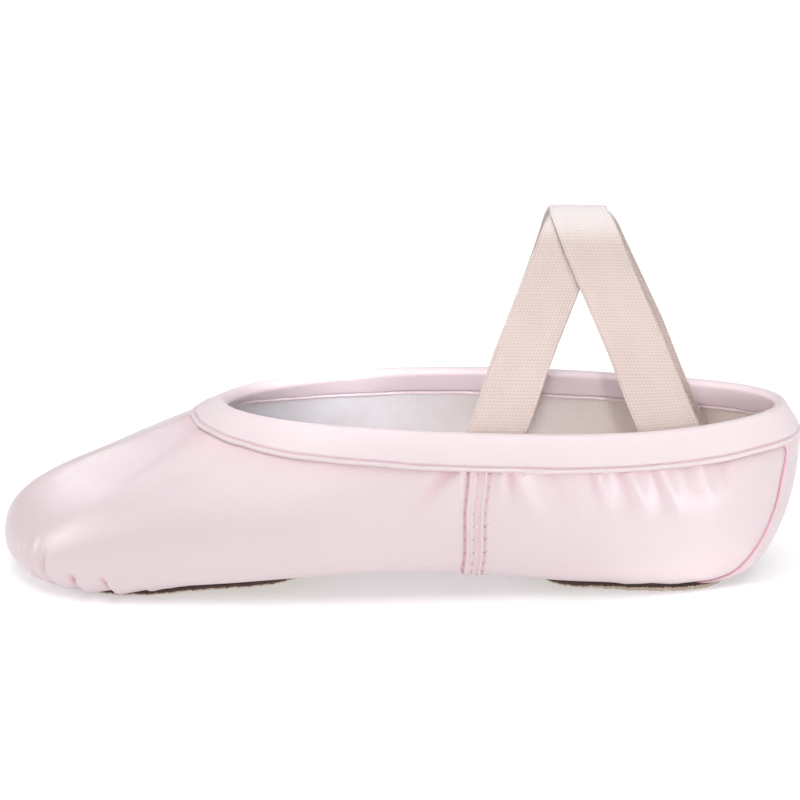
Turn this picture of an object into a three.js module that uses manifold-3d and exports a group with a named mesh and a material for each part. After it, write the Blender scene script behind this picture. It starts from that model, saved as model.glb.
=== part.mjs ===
// Soft split-sole ballet slipper with a bound collar and two crossed elastic straps.
// Millimetres. While it is drawn, x runs from the toe tip to the heel, +Z is up and the floor is z = 0;
// the finished group is centred over its footprint, with the toe towards -X.

import * as THREE from 'three';
import Module from 'manifold-3d';

// Driving sizes
const LENGTH = 239;
const WALL = 1.4;
const GAP = 0.3;
const COLLAR = { centre: 150.5, halfLength: 83.5, halfWidth: 29.2 };
const BINDING = { outside: 10.2, middle: 5, inside: 8, thick: 0.8 };
const SEAM = { front: 6.55, back: 6.75, step: 0.02, raise: 0.5 };
const BACK_STRIP = { half: 13, thick: 0.6, lowest: 1.2 };
const SOLE = { thick: 1.5, beyond: 3.6, roundness: 6, lap: 9.5 };
const FOREFOOT = { from: 19, to: 98 };
const HEEL = { from: 160, to: 222 };
const INSOLE = { thick: 1.2, inset: 1.5 };
const STRAP = {
  width: 16.5, thick: 1.1, tail: 16, crownX: 172.1, crownZ: 111, crownRadius: 11,
  base: 23.5, baseZ: 53.5, nearTurn: 4.5, crossing: 40, apart: 56, settle: 24, upright: 1.5,
};
// Slant of each strap on either side of the crown, how softly its far half turns, and which way it crosses.
const STRAP_UNDER = { lean: 1, near: 0.382, far: 0.45, farTurn: 6, lifted: 0 };
const STRAP_OVER = { lean: -1, near: 0.452, far: 0.31, farTurn: 12, lifted: STRAP.thick + GAP };

// One row for each section on one side, from the toe to the centre of the heel.
// spine: where its underside starts on the centre line. outX, outY, outZ: its widest point.
// tuck: how far its rounded edge runs back under it. phi: its place on the collar, in degrees.
// lean: how far its wall leans in at the collar, in degrees. rise, pull: how stiffly it leaves each end.
const SECTION_COLUMNS = ['spine', 'outX', 'outY', 'outZ', 'tuck', 'phi', 'lean', 'rise', 'pull'];
const SECTIONS = [
  [58, 0, 0, 11.5, 15, 0, 62.5, 17, 33],
  [59, 4, 17, 9, 14, 7.5, 59.5, 14.5, 31.5],
  [62, 16, 30, 9, 12, 15, 59.5, 16, 29],
  [68, 37, 36.5, 10.5, 15.5, 23, 54, 17, 25],
  [80, 62, 37.5, 13.5, 15, 34, 44, 16, 20],
  [100, 92, 36.5, 15, 12.5, 50, 32, 14, 16],
  [126, 124, 33.5, 16, 11, 71, 23, 13, 13],
  [154, 155, 31, 18.5, 11, 93.5, 17, 12, 12],
  [181, 185, 31, 20.5, 15, 115, 13, 12, 12],
  [197, 210.5, 29, 27, 15, 136, 11, 11, 11],
  [203, 230.5, 17, 36, 12.5, 158, 14, 8, 7],
  [205, LENGTH, 0, 42.5, 18, 180, 24, 5, 5],
];
const TURNING_COLUMNS = new Set(['outY', 'phi']);

// Height of the collar's edge, and of the upper's underside, against the distance from the toe.
const COLLAR_HEIGHT = [[67, 51.6], [90, 51.8], [120, 52.3], [150, 52], [190, 51.6], [234, 53.2]];
const LIFT = [
  [0, 4.6], [14, 2.3], [25, 1.8], [45, 1.8], [58, 3], [75, 4.4], [95, 6.4], [120, 8],
  [145, 6.3], [160, 4.6], [170, 3.4], [181, 2.6], [191, 1.8], [209, 1.8], [222, 2.7], [LENGTH, 7.2],
];

// How finely each surface is divided
const HALF_COLUMNS = 44;
const UNDERSIDE_ROWS = 2;
const EDGE_ROWS = 4;
const OUTER_WALL_ROWS = 8;
const INNER_WALL_ROWS = 4;
const COLLAR_STEPS = 24;
const SOLE_STATIONS = 18;
const INSOLE_STATIONS = 26;
const STRAP_STATIONS = 42;
const STRIP_STATIONS = 12;
const STRIP_ACROSS = 6;
const STRAP_ACROSS = 3;
const PLATE_ACROSS = 4;
const SOLVE_STEPS = 40;
const FINE = 1e-3;
const MERGE = 1e4;

const COLOURS = {
  satin: 0xeddde2, binding: 0xf2e6ea, elastic: 0xe9d8d4, suede: 0x9f8a7e, cotton: 0xdad3d8,
};

const wasm = await Module();
wasm.setup();

const SIDE = SECTIONS.length - 1;
const ROUND = 2 * SIDE;

// Curves through tables

function throughValues(values, t, turning) {
  const last = values.length - 1;
  const beyond = (end, inner) => (turning ? 2 * end - inner : inner);
  const at = (i) => {
    if (i < 0) return beyond(values[0], values[-i]);
    if (i > last) return beyond(values[last], values[2 * last - i]);
    return values[i];
  };
  const i = Math.min(Math.floor(t), last - 1);
  const f = t - i;
  const [a, b, c, d] = [at(i - 1), at(i), at(i + 1), at(i + 2)];
  const cubic = 3 * (b - c) + d - a;
  const square = 2 * a - 5 * b + 4 * c - d;
  return b + 0.5 * f * (c - a + f * (square + f * cubic));
}

// Monotone cubic through a table of [x, value] rows.
function along(table, x) {
  const last = table.length - 1;
  const place = THREE.MathUtils.clamp(x, table[0][0], table[last][0]);
  const span = (i) => table[i + 1][0] - table[i][0];
  const grade = (i) => (table[i + 1][1] - table[i][1]) / span(i);
  const slope = (i) => {
    if (i === 0) return grade(0);
    if (i === last) return grade(last - 1);
    const [before, after] = [grade(i - 1), grade(i)];
    return before * after <= 0 ? 0 : 2 * before * after / (before + after);
  };
  let i = 0;
  while (i < last - 1 && place > table[i + 1][0]) i += 1;
  const h = span(i);
  const f = (place - table[i][0]) / h;
  const stay = (1 + 2 * f) * (1 - f) ** 2;
  const move = f * f * (3 - 2 * f);
  const leave = f * (1 - f) ** 2 * h * slope(i);
  const arrive = f * f * (f - 1) * h * slope(i + 1);
  return stay * table[i][1] + move * table[i + 1][1] + leave + arrive;
}

// Finds where a rising function reaches a value.
function solve(rising, value, low, high) {
  let [a, b] = [low, high];
  for (let n = 0; n < SOLVE_STEPS; n += 1) {
    const middle = 0.5 * (a + b);
    if (rising(middle) < value) a = middle;
    else b = middle;
  }
  return 0.5 * (a + b);
}

// The upper's outer face

function section(t) {
  const column = (k) => SECTIONS.map((row) => row[k]);
  const read = (name, k) => [name, throughValues(column(k), t, TURNING_COLUMNS.has(name))];
  return Object.fromEntries(SECTION_COLUMNS.map(read));
}

function featherPoint(c) {
  const part = c.tuck / Math.hypot(c.spine - c.outX, c.outY);
  const x = c.outX + (c.spine - c.outX) * part;
  const y = c.outY * (1 - part);
  return new THREE.Vector3(x, y, along(LIFT, x));
}

function collarPoint(phi) {
  const x = COLLAR.centre - COLLAR.halfLength * Math.cos(phi);
  return new THREE.Vector3(x, COLLAR.halfWidth * Math.sin(phi), along(COLLAR_HEIGHT, x));
}

// A point of one side. s is 0 to 1 along the underside, 1 to 2 round the edge and 2 to 3 up the wall.
function sidePoint(t, s) {
  const c = section(t);
  const feather = featherPoint(c);
  const widest = new THREE.Vector3(c.outX, c.outY, c.outZ);
  if (s <= 1) {
    const x = THREE.MathUtils.lerp(c.spine, feather.x, s);
    return new THREE.Vector3(x, feather.y * s, along(LIFT, x));
  }
  if (s <= 2) {
    const turn = (s - 1) * Math.PI / 2;
    const point = feather.clone().lerp(widest, Math.sin(turn));
    point.z = THREE.MathUtils.lerp(feather.z, widest.z, 1 - Math.cos(turn));
    return point;
  }
  const phi = THREE.MathUtils.degToRad(c.phi);
  const lean = THREE.MathUtils.degToRad(c.lean);
  const rim = collarPoint(phi);
  const inward = new THREE.Vector3(Math.cos(phi) / COLLAR.halfLength, -Math.sin(phi) / COLLAR.halfWidth, 0);
  const lead = inward.normalize().multiplyScalar(Math.sin(lean)).setZ(Math.cos(lean));
  const lower = widest.clone().setZ(c.outZ + c.rise);
  const upper = rim.clone().addScaledVector(lead, -c.pull);
  return new THREE.CubicBezierCurve3(widest, lower, upper, rim).getPoint(s - 2);
}

// The same face all the way round: tau runs from the toe along the near side, -Y, to the heel and back.
function outerPoint(tau, s) {
  const round = THREE.MathUtils.euclideanModulo(tau, ROUND);
  const near = round <= SIDE;
  const point = sidePoint(near ? round : ROUND - round, s);
  return near ? point.setY(-point.y) : point;
}

function outwardNormal(tau, s) {
  const low = Math.max(s - FINE, 0);
  const high = Math.min(s + FINE, 3);
  const up = outerPoint(tau, high).sub(outerPoint(tau, low));
  const on = outerPoint(tau + FINE, s).sub(outerPoint(tau - FINE, s));
  if (s < FINE) return new THREE.Vector3(0, 0, -1);
  return on.cross(up).normalize();
}

function shellPoint(tau, s, offset) {
  return outerPoint(tau, s).addScaledVector(outwardNormal(tau, s), offset);
}

// The place on a column that lies a given way below the collar's edge, measured on the cloth.
function belowCollar(tau, distance) {
  let length = 0;
  let last = outerPoint(tau, 3);
  for (let k = 1; k <= COLLAR_STEPS; k += 1) {
    const s = 3 - k / COLLAR_STEPS;
    const next = outerPoint(tau, s);
    const piece = next.distanceTo(last);
    if (length + piece >= distance) return s + (1 - (distance - length) / piece) / COLLAR_STEPS;
    length += piece;
    last = next;
  }
  return 2;
}

function featherHalf(x) {
  const t = solve((at) => featherPoint(section(at)).x, x, 0, SIDE);
  return featherPoint(section(t)).y;
}

// Solids from points

class Skin {
  constructor() {
    this.points = [];
    this.faces = [];
    this.known = new Map();
  }

  vertex(p) {
    const key = [p.x, p.y, p.z].map((v) => Math.round(v * MERGE)).join();
    if (!this.known.has(key)) {
      this.known.set(key, this.points.length / 3);
      this.points.push(p.x, p.y, p.z);
    }
    return this.known.get(key);
  }

  triangle(a, b, c) {
    if (a !== b && b !== c && c !== a) this.faces.push(a, b, c);
  }

  // Joins two rows of points with a strip of triangles.
  strip(first, second) {
    for (let j = 0; j + 1 < first.length; j += 1) {
      const [a, b, c, d] = [first[j], first[j + 1], second[j + 1], second[j]].map((p) => this.vertex(p));
      this.triangle(a, b, c);
      this.triangle(a, c, d);
    }
  }

  volume() {
    const corner = (i) => new THREE.Vector3().fromArray(this.points, 3 * i);
    let sum = 0;
    for (let f = 0; f < this.faces.length; f += 3) {
      const [a, b, c] = this.faces.slice(f, f + 3).map(corner);
      sum += a.dot(b.cross(c)) / 6;
    }
    return sum;
  }

  geometry() {
    if (this.volume() < 0) this.faces.reverse();
    const geometry = new THREE.BufferGeometry();
    geometry.setAttribute('position', new THREE.Float32BufferAttribute(this.points, 3));
    geometry.setIndex(this.faces);
    return geometry;
  }
}

// A body between two grids of points that share their layout, closed round the edge.
function slab(top, bottom) {
  const skin = new Skin();
  const last = top.length - 1;
  for (let i = 0; i < last; i += 1) {
    const across = top[i].length - 1;
    skin.strip(top[i], top[i + 1]);
    skin.strip([...bottom[i]].reverse(), [...bottom[i + 1]].reverse());
    skin.strip([top[i][across], bottom[i][across]], [top[i + 1][across], bottom[i + 1][across]]);
    skin.strip([bottom[i][0], top[i][0]], [bottom[i + 1][0], top[i + 1][0]]);
  }
  skin.strip(bottom[0], top[0]);
  skin.strip(top[last], bottom[last]);
  return skin.geometry();
}

// A body swept round a loop of profiles, each joined to the next.
function sweptLoop(profiles) {
  const skin = new Skin();
  profiles.forEach((profile, i) => skin.strip(profile, profiles[(i + 1) % profiles.length]));
  return skin.geometry();
}

function toManifold(geometry) {
  const vertProperties = geometry.getAttribute('position').array;
  const triVerts = Uint32Array.from(geometry.getIndex().array);
  return new wasm.Manifold(new wasm.Mesh({ numProp: 3, vertProperties, triVerts }));
}

function toGeometry(manifold) {
  const mesh = manifold.getMesh();
  const geometry = new THREE.BufferGeometry();
  geometry.setAttribute('position', new THREE.BufferAttribute(mesh.vertProperties, 3));
  geometry.setIndex(new THREE.BufferAttribute(mesh.triVerts, 1));
  return geometry;
}

function piece(name, geometry, colour, roughness) {
  geometry.computeVertexNormals();
  const material = new THREE.MeshStandardMaterial({ color: colour, roughness, metalness: 0 });
  const mesh = new THREE.Mesh(geometry, material);
  mesh.name = name;
  return mesh;
}

function evenly(count, low, high) {
  return Array.from({ length: count + 1 }, (_, i) => THREE.MathUtils.lerp(low, high, i / count));
}

// Columns of the upper, with two close pairs at each side seam so that its step is crisp.
function columns() {
  const seam = [SEAM.front - SEAM.step, SEAM.front, SEAM.back, SEAM.back + SEAM.step];
  const clear = (t) => seam.every((edge) => Math.abs(edge - t) > 0.5 * SIDE / HALF_COLUMNS);
  const side = [...evenly(HALF_COLUMNS, 0, SIDE).filter(clear), ...seam].sort((a, b) => a - b);
  const back = side.slice(1, -1).reverse().map((t) => ROUND - t);
  return [...side, ...back];
}

function seamRaise(tau) {
  const t = tau <= SIDE ? tau : ROUND - tau;
  return t > SEAM.front - FINE && t < SEAM.back + FINE ? SEAM.raise : 0;
}

// Outer and inner face of one column, from the spine outside round the rim to the spine inside.
function upperProfile(tau) {
  const below = (distance) => belowCollar(tau, distance);
  const seamTop = below(BINDING.outside + 2 * GAP);
  const foot = [...evenly(UNDERSIDE_ROWS, 0, 1), ...evenly(EDGE_ROWS, 1, 2).slice(1)];
  const wall = (count, top) => evenly(count, 2, top).slice(1);
  const bound = [below(BINDING.middle), 3];
  const outerRows = [...wall(OUTER_WALL_ROWS, seamTop), below(BINDING.outside + GAP), ...bound];
  const innerRows = [...wall(INNER_WALL_ROWS, below(BINDING.inside)), ...bound];
  const raised = (s) => (s > 1 && s <= seamTop ? seamRaise(tau) : 0);
  const outside = [...foot, ...outerRows].map((s) => shellPoint(tau, s, raised(s)));
  const inside = [...foot, ...innerRows].map((s) => shellPoint(tau, s, -WALL));
  return [...outside, ...inside.reverse()];
}

// Half width of a sole patch: the foot's outline with rounded ends.
function patchHalf(x, patch, inset) {
  const [from, to] = [patch.from + inset, patch.to - inset];
  const place = Math.min(Math.abs(2 * (x - from) / (to - from) - 1), 1);
  const reach = Math.max(featherHalf(x) + SOLE.beyond - inset, 0);
  return reach * Math.sqrt(1 - place ** SOLE.roundness);
}

// Rows across a plate that follows the foot's lift, from one end to the other.
function plateGrid(stations, half, height) {
  const row = (x) => evenly(PLATE_ACROSS, -half(x), half(x)).map((y) => new THREE.Vector3(x, y, height(x)));
  return stations.map(row);
}

function roundStations(count, from, to) {
  return evenly(count, 0, Math.PI).map((a) => (from + to) / 2 - (to - from) / 2 * Math.cos(a));
}

function solePatch(patch) {
  const stations = roundStations(SOLE_STATIONS, patch.from, patch.to);
  const half = (x) => patchHalf(x, patch, 0);
  const top = plateGrid(stations, half, (x) => along(LIFT, x) - GAP);
  const bottom = plateGrid(stations, half, (x) => along(LIFT, x) - GAP - SOLE.thick);
  return slab(top, bottom);
}

// The hole in the upper's underside that a sole patch laps all round.
function patchOpening(patch) {
  const stations = roundStations(SOLE_STATIONS, patch.from + SOLE.lap, patch.to - SOLE.lap);
  const half = (x) => patchHalf(x, patch, SOLE.lap);
  const top = plateGrid(stations, half, (x) => along(LIFT, x) + 2 * WALL);
  const bottom = plateGrid(stations, half, (x) => along(LIFT, x) - WALL);
  return slab(top, bottom);
}

function upperGeometry() {
  const whole = toManifold(sweptLoop(columns().map(upperProfile)));
  const holes = [FOREFOOT, HEEL].map((patch) => toManifold(patchOpening(patch)));
  return toGeometry(holes.reduce((solid, hole) => solid.subtract(hole), whole));
}

// The folded tape over the collar's edge: down the outside, over the rim and down the inside.
function bindingProfile(tau) {
  const outside = [0, BINDING.middle, BINDING.outside].map((distance) => belowCollar(tau, distance));
  const inside = [0, BINDING.middle, BINDING.inside].map((distance) => belowCollar(tau, distance));
  const rim = outerPoint(tau, 3);
  const up = rim.clone().sub(outerPoint(tau, 3 - FINE)).normalize();
  const out = outwardNormal(tau, 3);
  const over = (across, above) => rim.clone().addScaledVector(out, across).addScaledVector(up, above);
  const [faceIn, faceOut] = [GAP, GAP + BINDING.thick];
  const lowerFirst = [...outside].reverse();
  const profile = [
    ...lowerFirst.map((s) => shellPoint(tau, s, faceOut)),
    over(faceIn, faceOut),
    over(-WALL - faceIn, faceOut),
    ...inside.map((s) => shellPoint(tau, s, -WALL - faceOut)),
    ...[...inside].reverse().map((s) => shellPoint(tau, s, -WALL - faceIn)),
    over(-WALL - faceIn, faceIn),
    over(faceIn, faceIn),
    ...outside.map((s) => shellPoint(tau, s, faceIn)),
  ];
  return [...profile, profile[0]];
}

function bindingGeometry() {
  return sweptLoop(columns().map(bindingProfile));
}

function insoleGeometry() {
  const from = featherPoint(section(0)).x + INSOLE.inset;
  const to = featherPoint(section(SIDE)).x - INSOLE.inset;
  const stations = roundStations(INSOLE_STATIONS, from, to);
  const ends = [from, to];
  const half = (x) => (ends.includes(x) ? 0 : Math.max(featherHalf(x) - INSOLE.inset, 0));
  const floor = (x) => along(LIFT, x) + WALL + GAP;
  return slab(plateGrid(stations, half, (x) => floor(x) + INSOLE.thick), plateGrid(stations, half, floor));
}

// The strip over the back seam, from just under the binding to where the heel turns under.
function backStripGeometry() {
  const clear = BINDING.outside + 2 * GAP;
  const columnAt = (y, s) => solve((at) => outerPoint(at, s).y, y, SIDE - 2, SIDE + 2);
  const place = (y, part, offset) => {
    const first = columnAt(y, THREE.MathUtils.lerp(belowCollar(SIDE, clear), BACK_STRIP.lowest, part));
    const s = THREE.MathUtils.lerp(belowCollar(first, clear), BACK_STRIP.lowest, part);
    return shellPoint(columnAt(y, s), s, offset);
  };
  const across = evenly(STRIP_ACROSS, -BACK_STRIP.half, BACK_STRIP.half);
  const rows = evenly(STRIP_STATIONS, 0, 1);
  const grid = (offset) => rows.map((part) => across.map((y) => place(y, part, offset)));
  return slab(grid(GAP + BACK_STRIP.thick), grid(GAP));
}

// Elastic straps: flat bands laid over a round-topped tent, each end running down inside the collar.

function tentSizes() {
  const height = STRAP.crownZ - STRAP.crownRadius - STRAP.baseZ;
  const reach = Math.hypot(STRAP.base, height);
  const bend = Math.atan2(height, STRAP.base) + Math.asin(STRAP.crownRadius / reach);
  const arc = STRAP.crownRadius * bend;
  return { bend, arc, side: arc + Math.sqrt(reach ** 2 - STRAP.crownRadius ** 2) };
}

// Place on the tent at a distance along the band from the crown; positive distances lie on the near side.
function tentPoint(x, distance) {
  const { bend, arc } = tentSizes();
  const way = Math.abs(distance);
  const angle = Math.min(way / STRAP.crownRadius, bend);
  const straight = Math.max(way - arc, 0);
  const out = STRAP.crownRadius * Math.sin(angle) + straight * Math.cos(bend);
  const up = STRAP.crownRadius * (Math.cos(angle) - 1) - straight * Math.sin(bend);
  return new THREE.Vector3(x, -Math.sign(distance) * out, STRAP.crownZ + up);
}

// Place against the inside of the collar, on the binding's inner face; a negative depth is above the rim.
function againstCollar(x, near, depth) {
  const phi = THREE.MathUtils.radToDeg(Math.acos((COLLAR.centre - x) / COLLAR.halfLength));
  const t = solve((at) => section(at).phi, phi, 0, SIDE);
  const tau = near ? t : ROUND - t;
  const inset = -(WALL + BINDING.thick + 2 * GAP + STRAP.thick / 2);
  if (depth >= 0) return shellPoint(tau, belowCollar(tau, depth), inset);
  const rim = shellPoint(tau, 3, inset);
  const up = outerPoint(tau, 3).sub(outerPoint(tau, 3 - FINE)).normalize();
  return rim.addScaledVector(up, -depth);
}

// The same, moved along the collar until it has the x that was asked for.
function insidePoint(x, near, depth) {
  const first = againstCollar(x, near, depth);
  return againstCollar(2 * x - first.x, near, depth);
}

// Middle surface of a band. lean +1 goes from the near front to the far back, -1 the other way.
function strapMiddle(distance, across, strap) {
  const [slope, turn] = distance > 0 ? [strap.near, STRAP.nearTurn] : [strap.far, strap.farTurn];
  const way = Math.hypot(distance, turn);
  const drift = -Math.sign(distance) * strap.lean * slope * (way - turn);
  const slant = Math.hypot(1, slope * distance / way);
  const x = STRAP.crownX + drift + across * STRAP.width / 2 * slant;
  const depth = Math.abs(distance) - tentSizes().side;
  const tent = tentPoint(x, distance);
  const inside = insidePoint(x, distance > 0, depth);
  return tent.lerp(inside, THREE.MathUtils.smoothstep(depth, -STRAP.settle, -STRAP.upright));
}

function strapGeometry(strap) {
  const side = tentSizes().side + STRAP.tail;
  const stations = evenly(STRAP_STATIONS, -side, side);
  const middle = (distance, across) => strapMiddle(distance, across, strap);
  const place = (distance, across, offset) => {
    const on = middle(distance + FINE, across).sub(middle(distance - FINE, across));
    const over = middle(distance, across + FINE).sub(middle(distance, across - FINE));
    const normal = on.cross(over).normalize();
    const away = THREE.MathUtils.smoothstep(Math.abs(distance), STRAP.crossing, STRAP.apart);
    return middle(distance, across).addScaledVector(normal, offset + strap.lifted * (1 - away));
  };
  const width = evenly(STRAP_ACROSS, -1, 1);
  const face = (offset) => stations.map((distance) => width.map((across) => place(distance, across, offset)));
  return slab(face(STRAP.thick / 2), face(-STRAP.thick / 2));
}

const slipper = new THREE.Group();
slipper.add(
  piece('upper', upperGeometry(), COLOURS.satin, 0.45),
  piece('collar_binding', bindingGeometry(), COLOURS.binding, 0.7),
  piece('back_strip', backStripGeometry(), COLOURS.satin, 0.45),
  piece('insole', insoleGeometry(), COLOURS.cotton, 0.9),
  piece('forefoot_sole', solePatch(FOREFOOT), COLOURS.suede, 0.95),
  piece('heel_sole', solePatch(HEEL), COLOURS.suede, 0.95),
  piece('strap_under', strapGeometry(STRAP_UNDER), COLOURS.elastic, 0.85),
  piece('strap_over', strapGeometry(STRAP_OVER), COLOURS.elastic, 0.85),
);
const box = new THREE.Box3().setFromObject(slipper);
const middle = box.getCenter(new THREE.Vector3());
slipper.position.set(-middle.x, -middle.y, -box.min.z);

export default slipper;
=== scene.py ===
"""Satin split-sole ballet slipper with a bound collar and two crossed elastic straps.

Lengths are in millimetres from the toe tip until a mesh is made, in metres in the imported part's frame.
"""

import logging
import math
from dataclasses import dataclass, field
from enum import Enum
from typing import Any, Callable, Sequence

import bmesh
import bpy
import numpy as np
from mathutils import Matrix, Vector


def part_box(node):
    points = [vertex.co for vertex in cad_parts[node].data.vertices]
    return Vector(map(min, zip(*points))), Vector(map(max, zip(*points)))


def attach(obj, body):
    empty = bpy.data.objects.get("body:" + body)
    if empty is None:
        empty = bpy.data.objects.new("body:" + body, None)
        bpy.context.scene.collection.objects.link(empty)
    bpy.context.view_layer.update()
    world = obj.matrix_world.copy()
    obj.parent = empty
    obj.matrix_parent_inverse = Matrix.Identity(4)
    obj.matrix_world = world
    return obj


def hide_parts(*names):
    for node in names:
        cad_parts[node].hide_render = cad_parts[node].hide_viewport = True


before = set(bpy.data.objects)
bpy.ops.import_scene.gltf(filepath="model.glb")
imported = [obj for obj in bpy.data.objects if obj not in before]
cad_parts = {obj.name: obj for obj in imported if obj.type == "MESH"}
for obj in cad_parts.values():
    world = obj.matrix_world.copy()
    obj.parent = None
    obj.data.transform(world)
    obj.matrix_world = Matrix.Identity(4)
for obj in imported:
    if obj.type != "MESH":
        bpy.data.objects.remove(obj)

MM = 0.001
FINE = 1e-3
BODY = "root"
CLOTH_UV = "cloth"
# Attribute of painted shade in creases, seam rows, sewn grooves and under beads
PAINTED_CREASE_SHADE = "crease"
# Attribute of painted light on the binding's inner flap
PAINTED_FLAP_LIGHT = "inside"
RUN = "run"
ACROSS = "across"
FINE_STEPS = 1200
MERGED = 1e-6
STITCH_SIZES = (0.9, 1.06)
RIB_BREAK = 0.3
RIB_PITCH = 0.85
COLUMN_PITCH = 0.9
BINDING_OUTSIDE = 10.2
BINDING_THICK = 0.8
TINY = 1e-9
NO_LENGTH = 1e-12
# Turn of a Wave texture's phase over one unit, for each direction of its bands
BAND_PHASE = {"X": 20.0, "Y": 20.0, "Z": 20.0, "DIAGONAL": 10 * math.sqrt(2)}

log = logging.getLogger("slipper")
Array = np.ndarray
Object = bpy.types.Object
Material = bpy.types.Material
Socket = bpy.types.NodeSocket


class Slot(Enum):
    """The record's material slots."""

    SATIN = "satin"
    BINDING = "binding"
    ELASTIC = "elastic"
    SUEDE = "suede"
    COTTON = "cotton"


class Held(Enum):
    """The end of a fold where stitching holds the cloth, and from which the fold fades out."""

    TOP = "top"
    FOOT = "foot"


# Curves through tables


def through(values: Array, place: Array, turning: bool = False) -> Array:
    """Smooth curve through evenly spaced values.

    Args:
        values: one value, or one array, for each step.
        place: where to read it, in steps.
        turning: whether the values change sign beyond both ends instead of mirroring.

    Returns:
        The values at those places.
    """
    before = 2 * values[0] - values[1] if turning else values[1]
    after = 2 * values[-1] - values[-2] if turning else values[-2]
    padded = np.concatenate([before[None], values, after[None]])
    start = np.clip(np.floor(place).astype(int), 0, len(values) - 2)
    f = (place - start).reshape(np.shape(place) + (1,) * (values.ndim - 1))
    a, b, c, d = (padded[start + k] for k in range(4))
    return b + 0.5 * f * (c - a + f * (2 * a - 5 * b + 4 * c - d + f * (3 * (b - c) + d - a)))


def along(table: Array, x: Array) -> Array:
    """Monotone cubic through a table of (x, value) rows, read at x.

    Args:
        table: rows of x and value.
        x: where to read it.

    Returns:
        The values there.
    """
    xs, ys = table.T
    span = np.diff(xs)
    grade = np.diff(ys) / span
    before, after = grade[:-1], grade[1:]
    agree = before * after > 0
    mean = 2 * before * after / np.where(agree, before + after, 1.0)
    slope = np.concatenate([grade[:1], np.where(agree, mean, 0.0), grade[-1:]])
    place = np.clip(x, xs[0], xs[-1])
    i = np.clip(np.searchsorted(xs, place) - 1, 0, len(span) - 1)
    f = (place - xs[i]) / span[i]
    move = f * f * (3 - 2 * f)
    leave = f * (1 - f) ** 2 * span[i] * slope[i]
    arrive = f * f * (f - 1) * span[i] * slope[i + 1]
    return (1 - move) * ys[i] + move * ys[i + 1] + leave + arrive


def smooth(low: float, high: float, value: Array) -> Array:
    """Smooth step from 0 at low to 1 at high."""
    f = np.clip((value - low) / (high - low), 0, 1)
    return f * f * (3 - 2 * f)


def unit(vectors: Array) -> Array:
    """The vectors at length one."""
    return vectors / np.maximum(np.linalg.norm(vectors, axis=-1, keepdims=True), NO_LENGTH)


def length(vectors: Array) -> Array:
    """Lengths of vectors."""
    return np.linalg.norm(vectors, axis=-1)


def bell(way: Array, width: float) -> Array:
    """Bell curve of height 1."""
    return np.exp(-((way / width) ** 2))


def running(steps: Array, axis: int = 0) -> Array:
    """Running total of steps, from 0."""
    return np.concatenate([np.zeros_like(np.take(steps, [0], axis)), np.cumsum(steps, axis)], axis)


def spaced(run: Array, values: Array, count: int) -> Array:
    """Values at even steps of their running length."""
    return np.interp(np.linspace(0, run[-1], count + 1), run, values)


# The form that every piece follows


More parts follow.
